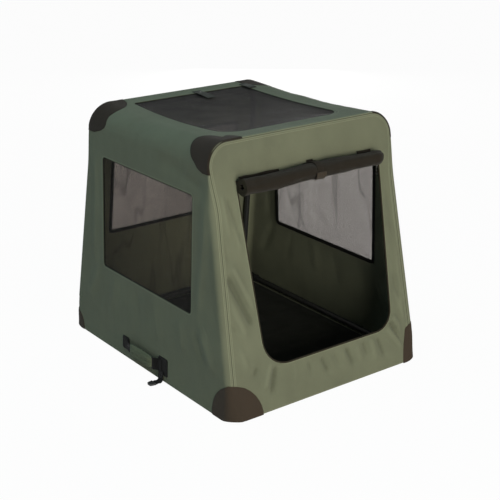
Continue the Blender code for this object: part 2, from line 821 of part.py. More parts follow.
def make_roof(crate, guides):
    roof = roof_sheet("roof_panel", 0.0, CLOTH, crate)
    combine(roof, [roof_cutter("roof_hole", 0.0, guides)], "DIFFERENCE")
    smooth(roof)
    paint(roof, OLIVE, 0.85)
    inset = (CLOTH - MESH_CLOTH) / 2
    window = roof_sheet("roof_window", inset, MESH_CLOTH, crate)
    combine(window, [roof_cutter("roof_pane", GAP, guides)], "INTERSECT")
    paint(window, MESH_GREY, 0.9)


def roof_surface(x, y):
    """Outer face of the roof above a place on its flat part."""
    start = front_y(FRONT_HEIGHT)
    along = (y - start) / (rear_y(REAR_HEIGHT) - start)
    sag = ROOF_SAG * 4 * along * (1 - along)
    return eaves_height(y) - sag


def make_roof_tie(name, place, length, crate):
    """Webbing strip sewn to the roof behind the window and lying forward on the mesh."""
    back = ROOF_WINDOW_REAR + ROOF_TIE_REAR_OVERLAP
    steps = 8
    path = []
    for step in range(steps + 1):
        y = back - length * step / steps
        path.append((y, roof_surface(place, y) + GAP * 2 + STRAP_THICKNESS / 2))
    matrix = face_matrix(Vector((place, 0, 0)), Vector((0, 1, 0)), Vector((0, 0, 1)))
    tie = ribbon(name, path, STRAP_THICKNESS, ROOF_TIE_WIDTH, matrix, crate)
    paint(tie, WEBBING_BLACK, 0.7)


# Corner patches

def make_top_patch(end, side, name, crate):
    """Facing over the shoulder at one end of a roof edge, rounded off away from the hoop."""
    rows = 8
    columns = 16
    lean = atan(SIDE_SLOPE)
    arc = SHOULDER_RADIUS * (pi / 2 - lean)
    span = rear_y(REAR_HEIGHT) - front_y(FRONT_HEIGHT)
    edge = CLOTH + 2 * GAP
    bm = bmesh.new()
    bmesh.ops.create_grid(bm, x_segments=columns, y_segments=rows, size=0.5)
    for vert in bm.verts:
        turn = (vert.co.y + 0.5) * pi / 2
        share = vert.co.x + 0.5
        out = sin(turn)
        lobe = cos(turn)
        low = TOP_PATCH_NECK - (TOP_PATCH_DOWN + TOP_PATCH_NECK) * lobe
        high = arc - TOP_PATCH_NECK + (TOP_PATCH_OVER + TOP_PATCH_NECK) * lobe
        along = out * TOP_PATCH_LENGTH / span
        if end == "rear":
            along = 1 - along
        point = cover_point(low + (high - low) * share, along, -TOP_PATCH_LIFT, edge)
        vert.co = (side * point.x, point.y, point.z)
    if (side > 0) == (end == "front"):
        bmesh.ops.reverse_faces(bm, faces=bm.faces)
    patch = link_mesh(name, bm, crate)
    shell = patch.modifiers.new("facing", "SOLIDIFY")
    shell.thickness = PATCH_THICKNESS
    shell.offset = 1
    smooth(patch)
    paint(patch, DARK_BROWN, 0.6)


def skirt_point(run, z, side, end, depth):
    """Point on the skirt near a corner: run is measured from the corner's middle.

    A negative run goes along the side wall and a positive one along the front or rear.
    """
    radius = SKIRT_CORNER_RADIUS
    y_face = front_y(z) if end == "front" else rear_y(z)
    inward = 1 if end == "front" else -1
    centre_x = side_x(z) - radius
    centre_y = y_face + inward * radius
    quarter = radius * pi / 4
    if abs(run) <= quarter:
        angle = pi / 4 + run / radius
        x = centre_x + (radius - depth) * cos(angle)
        y = centre_y - inward * (radius - depth) * sin(angle)
    elif run > 0:
        x = centre_x - (run - quarter)
        y = y_face + inward * depth
    else:
        x = side_x(z) - depth
        y = centre_y + inward * (-run - quarter)
    return Vector((side * x, y, z))


def make_bottom_patch(end, side, name, crate):
    """Facing around a bottom corner with a rounded top, standing on the ground."""
    side_run, end_run, tall = REAR_PATCH_RUN, REAR_PATCH_RUN, REAR_PATCH_HEIGHT
    if end == "front":
        side_run, tall = FRONT_PATCH_SIDE_RUN, FRONT_PATCH_HEIGHT
        end_run = FRONT_PATCH_LEFT_RUN if side < 0 else FRONT_PATCH_RIGHT_RUN
    quarter = SKIRT_CORNER_RADIUS * pi / 4
    steps = 7
    runs = [-side_run + (side_run - quarter) * step / steps for step in range(steps)]
    runs += [quarter * (step - 2) / 2 for step in range(5)]
    runs += [quarter + (end_run - quarter) * step / steps for step in range(1, steps + 1)]
    bm = bmesh.new()
    bmesh.ops.create_grid(bm, x_segments=len(runs) - 1, y_segments=4, size=0.5)
    for vert in bm.verts:
        run = runs[round((vert.co.x + 0.5) * (len(runs) - 1))]
        share = abs(run) / (end_run if run > 0 else side_run)
        crown = sqrt(max(1 - share ** PATCH_CROWN_POWER, 0.0))
        height = tall * (PATCH_FOOT_SHARE + (1 - PATCH_FOOT_SHARE) * crown)
        vert.co = skirt_point(run, height * (vert.co.y + 0.5), side, end, -GAP)
    if (side > 0) == (end == "front"):
        bmesh.ops.reverse_faces(bm, faces=bm.faces)
    patch = link_mesh(name, bm, crate)
    shell = patch.modifiers.new("facing", "SOLIDIFY")
    shell.thickness = PATCH_THICKNESS
    shell.offset = 1
    smooth(patch, 50)
    paint(patch, DARK_BROWN, 0.6)


# Rolled door

def roll_centre():
    """Middle of the roll in the front panel's side view: out from its mid-plane, and up."""
    return CLOTH / 2 + GAP + ROLL_RADIUS, ROLL_HEIGHT * hypot(1, FRONT_SLOPE)


def roll_path():
    """Side view of the rolled door leaf: spiral, then its tail up the front panel."""
    centre_out, centre_up = roll_centre()
    outer = ROLL_RADIUS - ROLL_SHEET / 2
    count = ceil(ROLL_TURNS * ROLL_POINTS_PER_TURN)
    path = []
    for step in range(count + 1):
        turn = ROLL_TURNS * (1 - step / count)
        radius = outer - ROLL_PITCH * turn
        angle = pi + 2 * pi * turn
        path.append((centre_out + radius * cos(angle), centre_up + radius * sin(angle)))
    top = LEAF_SEAM_HEIGHT * hypot(1, FRONT_SLOPE)
    path.append((centre_out - outer, (centre_up + top) / 2))
    path.append((centre_out - outer, top))
    return path


def least_self_gap(path, thickness):
    """Least distance between turns of the roll, face to face."""
    least = 1.0
    skip = ROLL_POINTS_PER_TURN // 2
    for index, point in enumerate(path):
        for other in path[index + skip:]:
            least = min(least, hypot(point[0] - other[0], point[1] - other[1]))
    return least - thickness


def make_door_roll(pivot_object, crate):
    path = roll_path()
    print("door roll least gap mm", round(1000 * least_self_gap(path, ROLL_SHEET), 2))
    left = door_edge(-1, ROLL_HEIGHT) - ROLL_LEFT_OVERLAP
    right = door_edge(1, ROLL_HEIGHT) - ROLL_RIGHT_INSET
    middle = (left + right) / 2
    up = Vector((0, FRONT_SLOPE, 1)).normalized()
    out = Vector((0, -1, FRONT_SLOPE)).normalized()
    matrix = face_matrix(Vector((middle, front_y(0, CLOTH / 2), 0)), out, up)
    roll = ribbon("door_roll", path, ROLL_SHEET, right - left, matrix, crate)
    paint(roll, DARK_BROWN, 0.8)
    hang(roll, pivot_object)


def make_door_tie(pivot_object, crate):
    """Loop of webbing from the header's outer face, under the roll, to its inner face."""
    centre_out, centre_up = roll_centre()
    sewn = (LEAF_SEAM_HEIGHT + TIE_ABOVE_LEAF) * hypot(1, FRONT_SLOPE)
    face = CLOTH / 2 + GAP + TIE_THICKNESS / 2
    radius = ROLL_RADIUS + GAP * 2 + TIE_THICKNESS / 2
    path = [(face, sewn + TIE_SEWN), (face, sewn)]
    steps = 14
    start = radians(TIE_LEAVES_ROLL)
    sweep = start + pi
    for step in range(steps + 1):
        angle = start - sweep * step / steps
        path.append((centre_out + radius * cos(angle), centre_up + radius * sin(angle)))
    path.append((-face, DOOR_HIGH * hypot(1, FRONT_SLOPE) - TIE_BEND))
    path.append((-face, sewn))
    up = Vector((0, FRONT_SLOPE, 1)).normalized()
    out = Vector((0, -1, FRONT_SLOPE)).normalized()
    matrix = face_matrix(Vector((TIE_PLACE, front_y(0, CLOTH / 2), 0)), out, up)
    tie = ribbon("door_tie", path, TIE_THICKNESS, TIE_WIDTH, matrix, crate)
    paint(tie, WEBBING_BLACK, 0.75)
    hang(tie, pivot_object)

    tab_radius = radius + TIE_THICKNESS / 2 + GAP + TAB_THICKNESS / 2
    tab_sweep = TAB_HEIGHT / tab_radius
    tab_path = []
    for step in range(7):
        angle = radians(TAB_ANGLE) + tab_sweep * (step / 6 - 0.5)
        point = (centre_out + tab_radius * cos(angle), centre_up + tab_radius * sin(angle))
        tab_path.append(point)
    tab = ribbon("door_tie_tab", tab_path, TAB_THICKNESS, TAB_WIDTH, matrix, crate)
    paint(tab, DARK_BROWN, 0.7)
    hang(tab, pivot_object)


def door_edge(side, z):
    """Place along the straight side of the door opening, across the panel."""
    low, high = (DOOR_LEFT_BORDER_LOW, DOOR_LEFT_BORDER_HIGH)
    if side > 0:
        low, high = (DOOR_RIGHT_BORDER_LOW, DOOR_RIGHT_BORDER_HIGH)
    share = (z - DOOR_LOW) / (DOOR_HIGH - DOOR_LOW)
    return side * (side_x(z) - low - (high - low) * share)


def zip_point(side, z, depth):
    """Middle of a zip tape at one height, set outside the opening on the inner face."""
    x = door_edge(side, z) + side * (ZIP_WIDTH / 2 + GAP)
    return Vector((x, front_y(z, depth), z))


def make_zip(side, label, pivot_object, crate):
    depth = CLOTH + GAP + ZIP_THICKNESS / 2
    low = zip_point(side, ZIP_LOW, depth)
    high = zip_point(side, ZIP_HIGH, depth)
    up = (high - low).normalized()
    normal = Vector((0, -1, FRONT_SLOPE)).normalized()
    across = up.cross(normal).normalized()
    length = (high - low).length
    half = ZIP_WIDTH / 2
    strip = [(-half, 0), (half, 0), (half, length), (-half, length)]
    tape = plate("door_zip_" + label, [strip], ZIP_THICKNESS, face_matrix(low, across, up), crate)
    paint(tape, WEBBING_BLACK, 0.6)
    hang(tape, pivot_object)

    inward = -normal
    seat = high - up * (SLIDER_LENGTH / 2 + GAP)
    place = seat + inward * (ZIP_THICKNESS / 2 + GAP + SLIDER_THICKNESS / 2)
    axis = pivot_empty("slider_axis_" + label, place, crate)
    body = [
        (-SLIDER_WIDTH / 2, -SLIDER_LENGTH / 2), (SLIDER_WIDTH / 2, -SLIDER_LENGTH / 2),
        (SLIDER_WIDTH / 2, SLIDER_LENGTH / 2), (-SLIDER_WIDTH / 2, SLIDER_LENGTH / 2),
    ]
    outline = rounded_outline(body, [SLIDER_WIDTH / 3] * 4, 3)
    slider = plate(
        "zip_slider_" + label, [outline], SLIDER_THICKNESS, face_matrix(place, across, up), crate
    )
    paint(slider, BRIGHT_STEEL, 0.35, 1.0)
    hang(slider, axis)

    pull_place = place + inward * (SLIDER_THICKNESS / 2 + GAP + PULL_THICKNESS * 0.75)
    hinge = pivot_empty("pull_axis_" + label, pull_place, crate)
    half = PULL_WIDTH / 2
    top = PULL_THICKNESS / 2
    tab = [(-half, -PULL_LENGTH), (half, -PULL_LENGTH), (half, top), (-half, top)]
    outline = rounded_outline(tab, [half * 0.7] * 2 + [0, 0], 3)
    plumb = face_matrix(pull_place, Vector((1, 0, 0)), Vector((0, 0, 1)))
    pull = plate("zip_pull_" + label, [outline], PULL_THICKNESS, plumb, crate)
    paint(pull, BRIGHT_STEEL, 0.35, 1.0)
    hang(pull, hinge)


# Carry handle and closing strap

def handle_frame(depth):
    """Frame on the left side wall: X towards the front, Y up it, Z out of it."""
    return side_frame(-1, depth)


def make_anchor(name, start, end, tall, crate):
    centre = HANDLE_HEIGHT
    corners = [
        (-start, centre - tall / 2), (-end, centre - tall / 2),
        (-end, centre + tall / 2), (-start, centre + tall / 2),
    ]
    outline = rounded_outline(corners, [0.006] * 4, 3)
    anchor = plate(
        name, [outline], ANCHOR_THICKNESS, handle_frame(-GAP - ANCHOR_THICKNESS / 2), crate
    )
    paint(anchor, WEBBING_BLACK, 0.8)


def make_handle(crate):
    """Padded grip on a webbing loop between two sewn anchors."""
    make_anchor("handle_anchor_front", FRONT_ANCHOR_FROM, FRONT_ANCHOR_TO, FRONT_ANCHOR_TALL, crate)
    make_anchor("handle_anchor_rear", REAR_ANCHOR_FROM, REAR_ANCHOR_TO, REAR_ANCHOR_TALL, crate)
    face = GAP + ANCHOR_THICKNESS
    lift = face + GRIP_STAND_OFF + GRIP_THICKNESS / 2
    middle = Vector((-side_x(HANDLE_HEIGHT, -lift), (GRIP_FROM + GRIP_TO) / 2, HANDLE_HEIGHT))
    centre = pivot_empty("handle_axis", middle, crate)

    half = (GRIP_TO - GRIP_FROM) / 2
    corners = [
        (-half, -GRIP_THICKNESS / 2), (half, -GRIP_THICKNESS / 2),
        (half, GRIP_THICKNESS / 2), (-half, GRIP_THICKNESS / 2),
    ]
    outline = rounded_outline(corners, [GRIP_THICKNESS * 0.42] * 4, 4)
    out = Vector((-1, 0, SIDE_SLOPE)).normalized()
    along = Vector((0, 1, 0))
    grip = plate("handle_grip", [outline], GRIP_TALL, face_matrix(middle, along, out), crate)
    paint(grip, GRIP_GREEN, 0.9)
    hang(grip, centre)

    webs = {
        "handle_web_front": (FRONT_ANCHOR_TO, GRIP_FROM, 1),
        "handle_web_rear": (REAR_ANCHOR_FROM, GRIP_TO, -1),
    }
    for name, (edge, grip_end, way) in webs.items():
        low = face + GAP + STRAP_THICKNESS / 2
        path = [(edge - way * WEB_SEWN, low), (edge, low)]
        path.append((grip_end - way * WEB_ENTRY, lift - STRAP_THICKNESS / 2))
        path.append((grip_end - way * GAP, lift))
        base = Vector((-side_x(HANDLE_HEIGHT), 0, HANDLE_HEIGHT))
        frame = face_matrix(base, along, out)
        web = ribbon(name, path, STRAP_THICKNESS, STRAP_WIDTH, frame, crate)
        paint(web, WEBBING_BLACK, 0.8)


def make_closing_strap(crate, guides):
    """Strap from the front anchor down to the ground, and the buckle half on its end."""
    face = GAP + ANCHOR_THICKNESS + GAP + STRAP_THICKNESS / 2
    top = HANDLE_HEIGHT - CLOSING_STRAP_BELOW_HANDLE
    ground = STRAP_THICKNESS / 2
    wall = -side_x(0, -face)
    turn = CLOSING_STRAP_BEND
    path = [(-side_x(top, -face), top), (wall, ground + turn * 1.6)]
    for step in range(1, 6):
        angle = step / 5 * pi / 2
        path.append((wall - turn * (1 - cos(angle)), ground + turn - turn * sin(angle)))
    end = wall - turn - CLOSING_STRAP_REACH
    path.append((end, ground))
    matrix = face_matrix(
        Vector((0, CLOSING_STRAP_PLACE, 0)), Vector((1, 0, 0)), Vector((0, 0, 1))
    )
    strap = ribbon("closing_strap", path, STRAP_THICKNESS, CLOSING_STRAP_WIDTH, matrix, crate)
    paint(strap, WEBBING_BLACK, 0.8)

    make_buckle(end - GAP, crate, guides)


def make_buckle(inner_end, crate, guides):
    """Flat buckle half, rounded where it turns on the end of the strap."""
    radius = BUCKLE_THICKNESS / 2
    axis = Vector((inner_end - radius, CLOSING_STRAP_PLACE, radius))
    hinge = pivot_empty("buckle_axis", axis, crate)
    low = inner_end - BUCKLE_LENGTH
    half = BUCKLE_WIDTH / 2
    tip = half * 0.7
    place = CLOSING_STRAP_PLACE
    corners = [
        (low, place - tip), (inner_end, place - half), (inner_end, place + half), (low, place + tip)
    ]
    outline = rounded_outline(corners, [0.004, 0.002, 0.002, 0.004], 3)
    flat = Matrix.Translation((0, 0, radius))
    buckle = curve_to_mesh(plate("strap_buckle", [outline], BUCKLE_THICKNESS, flat, crate), crate)
    profile = [(low - radius, -radius)]
    for step in range(ROUND_END_STEPS + 1):
        angle = pi * (step / ROUND_END_STEPS - 0.5)
        profile.append((axis.x + radius * cos(angle), radius * sin(angle)))
    profile.append((low - radius, radius))
    upright = face_matrix(Vector((0, place, radius)), Vector((1, 0, 0)), Vector((0, 0, 1)))
    side_view = plate("buckle_side_view", [profile], BUCKLE_WIDTH * 2, upright, guides)
    combine(buckle, [curve_to_mesh(side_view, guides)], "INTERSECT")
    paint(buckle, PLASTIC_BLACK, 0.4)
    hang(buckle, hinge)


def main():
    clear_scene()
    crate = make_collection("folding_dog_crate")
    guides = make_collection("guides")
    make_tray(crate)
    make_mat(crate)
    make_base_tubes(crate)

    front = hinge_place("front")
    rear = hinge_place("rear")
    front_pivot = pivot_empty("front_hoop_axis", (0, front.y, front.z), crate)
    rear_pivot = pivot_empty("rear_hoop_axis", (0, rear.y, rear.z), crate)
    print("front pivot", [round(value, 5) for value in front])
    print("rear pivot", [round(value, 5) for value in rear])
    for end, pivot_object in (("front", front_pivot), ("rear", rear_pivot)):
        for side, label in ((-1, "left"), (1, "right")):
            corner_name = end + "_" + label
            make_corner_fitting(end, side, "corner_fitting_" + corner_name, crate, guides)
            make_knuckle(end, side, "knuckle_" + corner_name, pivot_object, crate, guides)
            make_pin_and_button(end, side, corner_name, crate)
            make_top_patch(end, side, "top_patch_" + corner_name, crate)
            make_bottom_patch(end, side, "bottom_patch_" + corner_name, crate)
        make_hoop(end, end + "_hoop_tube", pivot_object, crate)

    make_front_panel(front_pivot, crate)
    make_rear_panel(rear_pivot, crate)
    make_side(-1, "left", crate)
    make_side(1, "right", crate)
    make_roof(crate, guides)
    make_roof_tie("roof_tie_middle", MIDDLE_TIE_PLACE, MIDDLE_TIE_LENGTH, crate)
    make_roof_tie("roof_tie_right", RIGHT_TIE_PLACE, RIGHT_TIE_LENGTH, crate)
    make_door_roll(front_pivot, crate)
    make_door_tie(front_pivot, crate)
    make_zip(-1, "left", front_pivot, crate)
    make_zip(1, "right", front_pivot, crate)
    make_handle(crate)
    make_closing_strap(crate, guides)


main()
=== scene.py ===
"""Looks of a folding fabric dog crate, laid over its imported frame.

The cover is one set of cloth sheets that follow the same surfaces as the frame's solids.
Metres, +Z up, front towards -Y, origin in the middle of the underside.
"""
from math import atan, ceil, copysign, cos, exp, hypot, pi, radians, sin, sqrt

import bmesh
import bpy
from mathutils import Matrix, Vector, noise
from mathutils.kdtree import KDTree


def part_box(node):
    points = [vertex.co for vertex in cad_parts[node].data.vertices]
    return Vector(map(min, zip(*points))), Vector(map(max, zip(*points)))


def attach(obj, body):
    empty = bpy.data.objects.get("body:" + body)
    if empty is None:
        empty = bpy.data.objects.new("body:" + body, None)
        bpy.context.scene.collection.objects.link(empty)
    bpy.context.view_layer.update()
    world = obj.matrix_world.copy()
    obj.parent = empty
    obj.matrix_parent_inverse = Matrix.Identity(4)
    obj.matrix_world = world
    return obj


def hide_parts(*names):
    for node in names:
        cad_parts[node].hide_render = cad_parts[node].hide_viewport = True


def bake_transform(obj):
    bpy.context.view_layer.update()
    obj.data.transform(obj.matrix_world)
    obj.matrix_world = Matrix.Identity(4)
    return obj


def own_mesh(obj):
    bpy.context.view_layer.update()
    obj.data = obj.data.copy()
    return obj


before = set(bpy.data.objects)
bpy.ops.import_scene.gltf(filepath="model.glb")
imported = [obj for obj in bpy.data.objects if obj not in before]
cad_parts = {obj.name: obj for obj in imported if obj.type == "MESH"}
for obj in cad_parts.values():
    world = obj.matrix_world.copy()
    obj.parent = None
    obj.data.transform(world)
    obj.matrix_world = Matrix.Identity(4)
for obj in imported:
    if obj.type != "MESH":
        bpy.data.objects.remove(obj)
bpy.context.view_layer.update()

bl_info = {
    "name": "Folding Dog Crate",
    "version": (1, 0, 0),
    "blender": (4, 5, 0),
    "location": "View3D > Sidebar > Crate",
    "description": "Cloth, bindings, door roll, handle and finishes of a folding dog crate",
    "category": "Add Mesh",
}

# Surfaces of the cover, as in the solids
BASE_LENGTH = 0.760
BASE_WIDTH = 0.620
FRONT_HEIGHT = 0.665
REAR_HEIGHT = 0.6575
FRONT_SLOPE = 0.127 / FRONT_HEIGHT
REAR_SLOPE = 0.104 / REAR_HEIGHT
SIDE_SLOPE = 0.025 / FRONT_HEIGHT
SHOULDER_RADIUS = 0.062
ROOF_SAG = 0.010
LEAN = atan(SIDE_SLOPE)
SHOULDER_ARC = SHOULDER_RADIUS * (pi / 2 - LEAN)
SLEEVE_FOOT = 0.0945
CLOTH_SPACE = 0.0025
GAP = 0.0003
INSIDE = Vector((0, 0, 0.33))

# Seams: distances over the shoulder between which they narrow, height of the turn at the
# foot in which they do, depth and width of the groove sewn into them
SEAM_NARROWS = (-0.115, 0.010)
FOOT_TURN = 0.012
GROOVE_DEPTH = 0.0010
GROOVE_WIDTH = 0.0026
# Length of seam for each metre of height, up a leaning end
END_STRETCH = 1.02

# Tray: skirt and floor, with the small bend between them
TRAY_CORNER = 0.0024
TRAY_SIDE = (SLEEVE_FOOT - TRAY_CORNER) * hypot(1, SIDE_SLOPE)
TRAY_ARC = TRAY_CORNER * pi / 2
TRAY_HALF = TRAY_SIDE + TRAY_ARC + BASE_WIDTH / 2 - TRAY_CORNER

# Windows and door opening: boxes as low and high across, low and high up
SIDE_WINDOW = (-0.203, 0.213, 0.228, 0.530)
REAR_WINDOW = (-0.205, 0.205, 0.272, 0.530)
ROOF_WINDOW = (-0.182, 0.182, -0.195, 0.228)
WINDOW_CORNER = 0.009
ROOF_WINDOW_CORNER = 0.035
ROOF_CORNERS = (0.060, 0.052, 0.014, 0.010)
ROOF_WINDOW_SWELL = 0.006
NET_LAP = 0.006
NET_CELL = 0.008
NET_DEPTH = 0.0021
NET_SLACK = 0.0016
OUTLINE_STEP = 0.012
DOOR_LOW = 0.108
DOOR_HIGH = 0.563
DOOR_BORDERS = {-1: (0.1199, 0.0760), 1: (0.0789, 0.0532)}
DOOR_CORNERS = (0.074, 0.052, 0.012, 0.012)

# Door roll
ROLL_RADIUS = 0.0220
ROLL_SPAN = (-0.2153, 0.2241)
ROLL_HEIGHT = 0.5545
ROLL_SHEET = 0.0030
ROLL_PITCH = 0.0028
ROLL_TURNS = 5.0
ROLL_STEPS_PER_TURN = 32
LEAF_SEAM_HEIGHT = 0.572
HEM_SPANS = ((-0.2060, -0.0880), (-0.0140, 0.0280), (0.1620, 0.2080))
TIE_PLACE = 0.010
TIE_WIDTH = 0.020
TAB_ANGLE = -38
TAB_WIDTH = 0.030
TAB_HEIGHT = 0.022

# Zips
ZIP_SPAN = (0.190, 0.535)
ZIP_WIDTH = 0.009
COIL_PITCH = 0.0024
COIL_WIDTH = 0.0046
COIL_RADIUS = 0.00055

# Handle and closing strap
HANDLE_HEIGHT = 0.043
GRIP_SPAN = (-0.050, 0.060)
GRIP_LIFT = 0.0128
GRIP_TALL = 0.038
GRIP_THICKNESS = 0.0100
FRONT_ANCHOR = (-0.105, -0.062, 0.050)
REAR_ANCHOR = (0.080, 0.114, 0.038)
FRONT_WEB_WIDTH = 0.034
REAR_WEB_WIDTH = 0.025
SKIRT_RISE = Vector((SIDE_SLOPE, 0, 1)).normalized()
SKIRT_OUT = Vector((-1, 0, SIDE_SLOPE)).normalized()
STRAP_PLACE = -0.078
STRAP_WIDTH = 0.020
STRAP_REACH = 0.023

# Roof ties: name, node, place across, length
ROOF_TIES = (
    ("roof_tie_web_middle", "roof_tie_middle", 0.029, 0.080),
    ("roof_tie_web_right", "roof_tie_right", 0.188, 0.052),
)
ROOF_TIE_WIDTH = 0.026
ROOF_TIE_SEAM = 0.242

# Mat
MAT_CORNER = 0.030
QUILT_PITCH = 0.094

# Facings
FACING_STEPS = 22
FACING_THICKNESS = 0.0008

# Outlines of the top facings: distance over the shoulder, reach along the roof edge
FRONT_TOP_FACING = (
    (-0.012, 0.022), (-0.005, 0.041), (0.007, 0.053), (0.018, 0.068), (0.032, 0.078),
    (0.045, 0.084), (0.058, 0.088), (0.072, 0.088), (0.089, 0.080), (0.100, 0.074),
    (0.105, 0.058), (0.108, 0.036), (0.112, 0.034), (0.117, 0.041), (0.126, 0.042),
    (0.133, 0.034), (0.137, 0.020), (0.139, 0.004),
)
FRONT_RIGHT_TOP_FACING = (
    (-0.012, 0.022), (-0.005, 0.041), (0.007, 0.053), (0.018, 0.064), (0.030, 0.066),
    (0.042, 0.058), (0.054, 0.042), (0.066, 0.026), (0.078, 0.014), (0.090, 0.005),
)
REAR_TOP_FACING = (
    (-0.010, 0.030), (0.000, 0.063), (0.010, 0.078), (0.020, 0.081), (0.032, 0.076),
    (0.045, 0.074), (0.060, 0.079), (0.079, 0.080), (0.095, 0.073), (0.107, 0.063),
    (0.117, 0.051), (0.125, 0.038), (0.131, 0.020), (0.133, 0.006),
)
# Outlines of the bottom facings: run from the corner, height
FRONT_LEFT_FOOT = (
    (0.0, 0.0955), (0.010, 0.0940), (0.027, 0.0885), (0.045, 0.0810), (0.062, 0.068),
    (0.075, 0.0530), (0.084, 0.0370), (0.089, 0.0230), (0.0915, 0.0090),
)
FRONT_RIGHT_FOOT = (
    (0.0, 0.1040), (0.004, 0.1030), (0.0275, 0.0930), (0.0300, 0.0870), (0.0384, 0.0534),
    (0.0425, 0.0300), (0.0450, 0.0090),
)
SIDE_FOOT = (
    (0.0, 0.0955), (0.006, 0.0920), (0.029, 0.0790), (0.0485, 0.0610), (0.060, 0.044),
    (0.0665, 0.0286), (0.0715, 0.0110),
)
REAR_FOOT = (
    (0.0, 0.0540), (0.012, 0.0520), (0.024, 0.0460), (0.035, 0.0360), (0.043, 0.023),
    (0.0475, 0.0090),
)

# Camera, and lights: name, place, target, size, power, colour
CAMERA_PLACE = (-1.747, -2.357, 1.361)
CAMERA_TURN = (69.56, 0.0, -37.06)
CAMERA_LENS = 83.4
LIGHTS = (
    ("front_light", (-0.55, -3.6, 0.75), (0.0, 0.0, 0.30), 1.9, 113.0, (1.0, 0.965, 0.85)),
    ("left_light", (-1.1, 0.1, 3.0), (0.0, 0.0, 0.35), 2.0, 37.0, (0.66, 0.94, 1.04)),
    ("rear_light", (2.3, 2.9, 0.40), (0.0, 0.0, 0.30), 0.8, 38.0, (1.0, 0.985, 0.93)),
)
SKY_COLOUR = (0.86, 1.0, 1.10, 1.0)
SKY_STRENGTH = 0.030
FLOOR_COLOUR = (0.80, 0.80, 0.80, 1.0)
FLOOR_GLOW_SHARE = 0.97
WHITE = (1.0, 1.0, 1.0, 1.0)


class CrateSizes(bpy.types.PropertyGroup):
    """Sizes of the cloth work that can be changed without moving the frame."""
    cloth: bpy.props.FloatProperty(
        name="Cloth thickness", description="Thickness of the cover's cloth",
        default=0.0014, min=0.0006, max=0.0024, unit="LENGTH",
    )
    seam_inset: bpy.props.FloatProperty(
        name="Seam inset", description="How far the front seam runs inside the corner",
        default=0.0145, min=0.012, max=0.018, unit="LENGTH",
    )
    corner_radius: bpy.props.FloatProperty(
        name="Corner radius", description="Rounding of the upright corners of the cover",
        default=0.016, min=0.008, max=0.018, unit="LENGTH",
    )
    fold_depth: bpy.props.FloatProperty(
        name="Fold depth", description="Scale of the folds in the cover",
        default=1.0, min=0.0, max=1.6,
    )
    binding: bpy.props.FloatProperty(
        name="Binding width", description="Width of the binding tape around the windows",
        default=0.0075, min=0.005, max=0.014, unit="LENGTH",
    )
    cell: bpy.props.FloatProperty(
        name="Cloth grid", description="Spacing of the grid that carries the cloth's folds",
        default=0.0060, min=0.004, max=0.012, unit="LENGTH",
    )


def colour_property(name, description, default):
    return bpy.props.FloatVectorProperty(
        name=name, description=description, default=default, size=3, min=0.0, max=1.0,
        subtype="COLOR",
    )


class CrateColours(bpy.types.PropertyGroup):
    """Colours of the crate's finishes."""
    cover: colour_property("Cover cloth", "Olive cloth of the cover", (0.158, 0.166, 0.113))
    facing: colour_property("Corner facing", "Dark corner cloth", (0.0250, 0.0180, 0.0128))
    leaf: colour_property("Door leaf", "Cloth of the rolled door", (0.0165, 0.0128, 0.0088))
    webbing: colour_property("Webbing", "Black webbing and tape", (0.0055, 0.0056, 0.0050))
    tie: colour_property("Roof ties", "Webbing on the roof window", (0.0254, 0.0283, 0.0229))
    binding: colour_property("Door binding", "Tape along the door", (0.0293, 0.0244, 0.0156))
    tab: colour_property("Tie tab", "Tab on the door roll's tie", (0.0439, 0.0332, 0.0244))
    mesh: colour_property("Window mesh", "Threads of the window nets", (0.0293, 0.0263, 0.0244))
    mat: colour_property("Floor mat", "Felted floor mat", (0.0130, 0.0140, 0.0105))
    grip: colour_property("Grip", "Cloth of the padded grip", (0.1200, 0.1320, 0.0820))
    steel: colour_property("Coated steel", "Powder coat of the tubes", (0.020, 0.0205, 0.021))
    plastic: colour_property("Moulded plastic", "Fittings and buckle", (0.012, 0.012, 0.012))
    bright: colour_property("Bright steel", "Pins, buttons and sliders", (0.58, 0.58, 0.57))


# Surfaces of the cover

def front_y(z, depth=0.0):
    return -BASE_LENGTH / 2 + FRONT_SLOPE * z + depth * hypot(1, FRONT_SLOPE)


def rear_y(z, depth=0.0):
    return BASE_LENGTH / 2 - REAR_SLOPE * z - depth * hypot(1, REAR_SLOPE)


def side_x(z, depth=0.0):
    return BASE_WIDTH / 2 - SIDE_SLOPE * z - depth * hypot(1, SIDE_SLOPE)


def eaves_height(y):
    front = front_y(FRONT_HEIGHT)
    share = (y - front) / (rear_y(REAR_HEIGHT) - front)
    return FRONT_HEIGHT + (REAR_HEIGHT - FRONT_HEIGHT) * share


def section(distance, height, depth, sag):
    """Point x, z on the right half of the cover, by distance up from the shoulder."""
    centre_z = height - SHOULDER_RADIUS
    centre_x = side_x(centre_z, SHOULDER_RADIUS)
    radius = SHOULDER_RADIUS - depth
    if distance < 0:
        x = centre_x + radius * cos(LEAN) - distance * sin(LEAN)
        return x, centre_z + radius * sin(LEAN) + distance * cos(LEAN)
    angle = LEAN + min(distance, SHOULDER_ARC) / SHOULDER_RADIUS
    x = centre_x + radius * cos(angle) - max(distance - SHOULDER_ARC, 0.0)
    drop = sag * (angle - LEAN) / (pi / 2 - LEAN)
    return x, centre_z + radius * sin(angle) - drop


HALF_SECTION = SHOULDER_ARC + side_x(FRONT_HEIGHT - SHOULDER_RADIUS, SHOULDER_RADIUS)


def cover_point(side, distance, along, depth=0.0):
    """Point on the walls and roof; along runs from 0 at the front to 1 at the rear."""
    start = front_y(FRONT_HEIGHT)
    guess = start + (rear_y(REAR_HEIGHT) - start) * along
    sag = ROOF_SAG * 4 * along * (1 - along)
    x, z = section(distance, eaves_height(guess), depth, sag)
    front = front_y(z)
    return Vector((side * x, front + (rear_y(z) - front) * along, z))


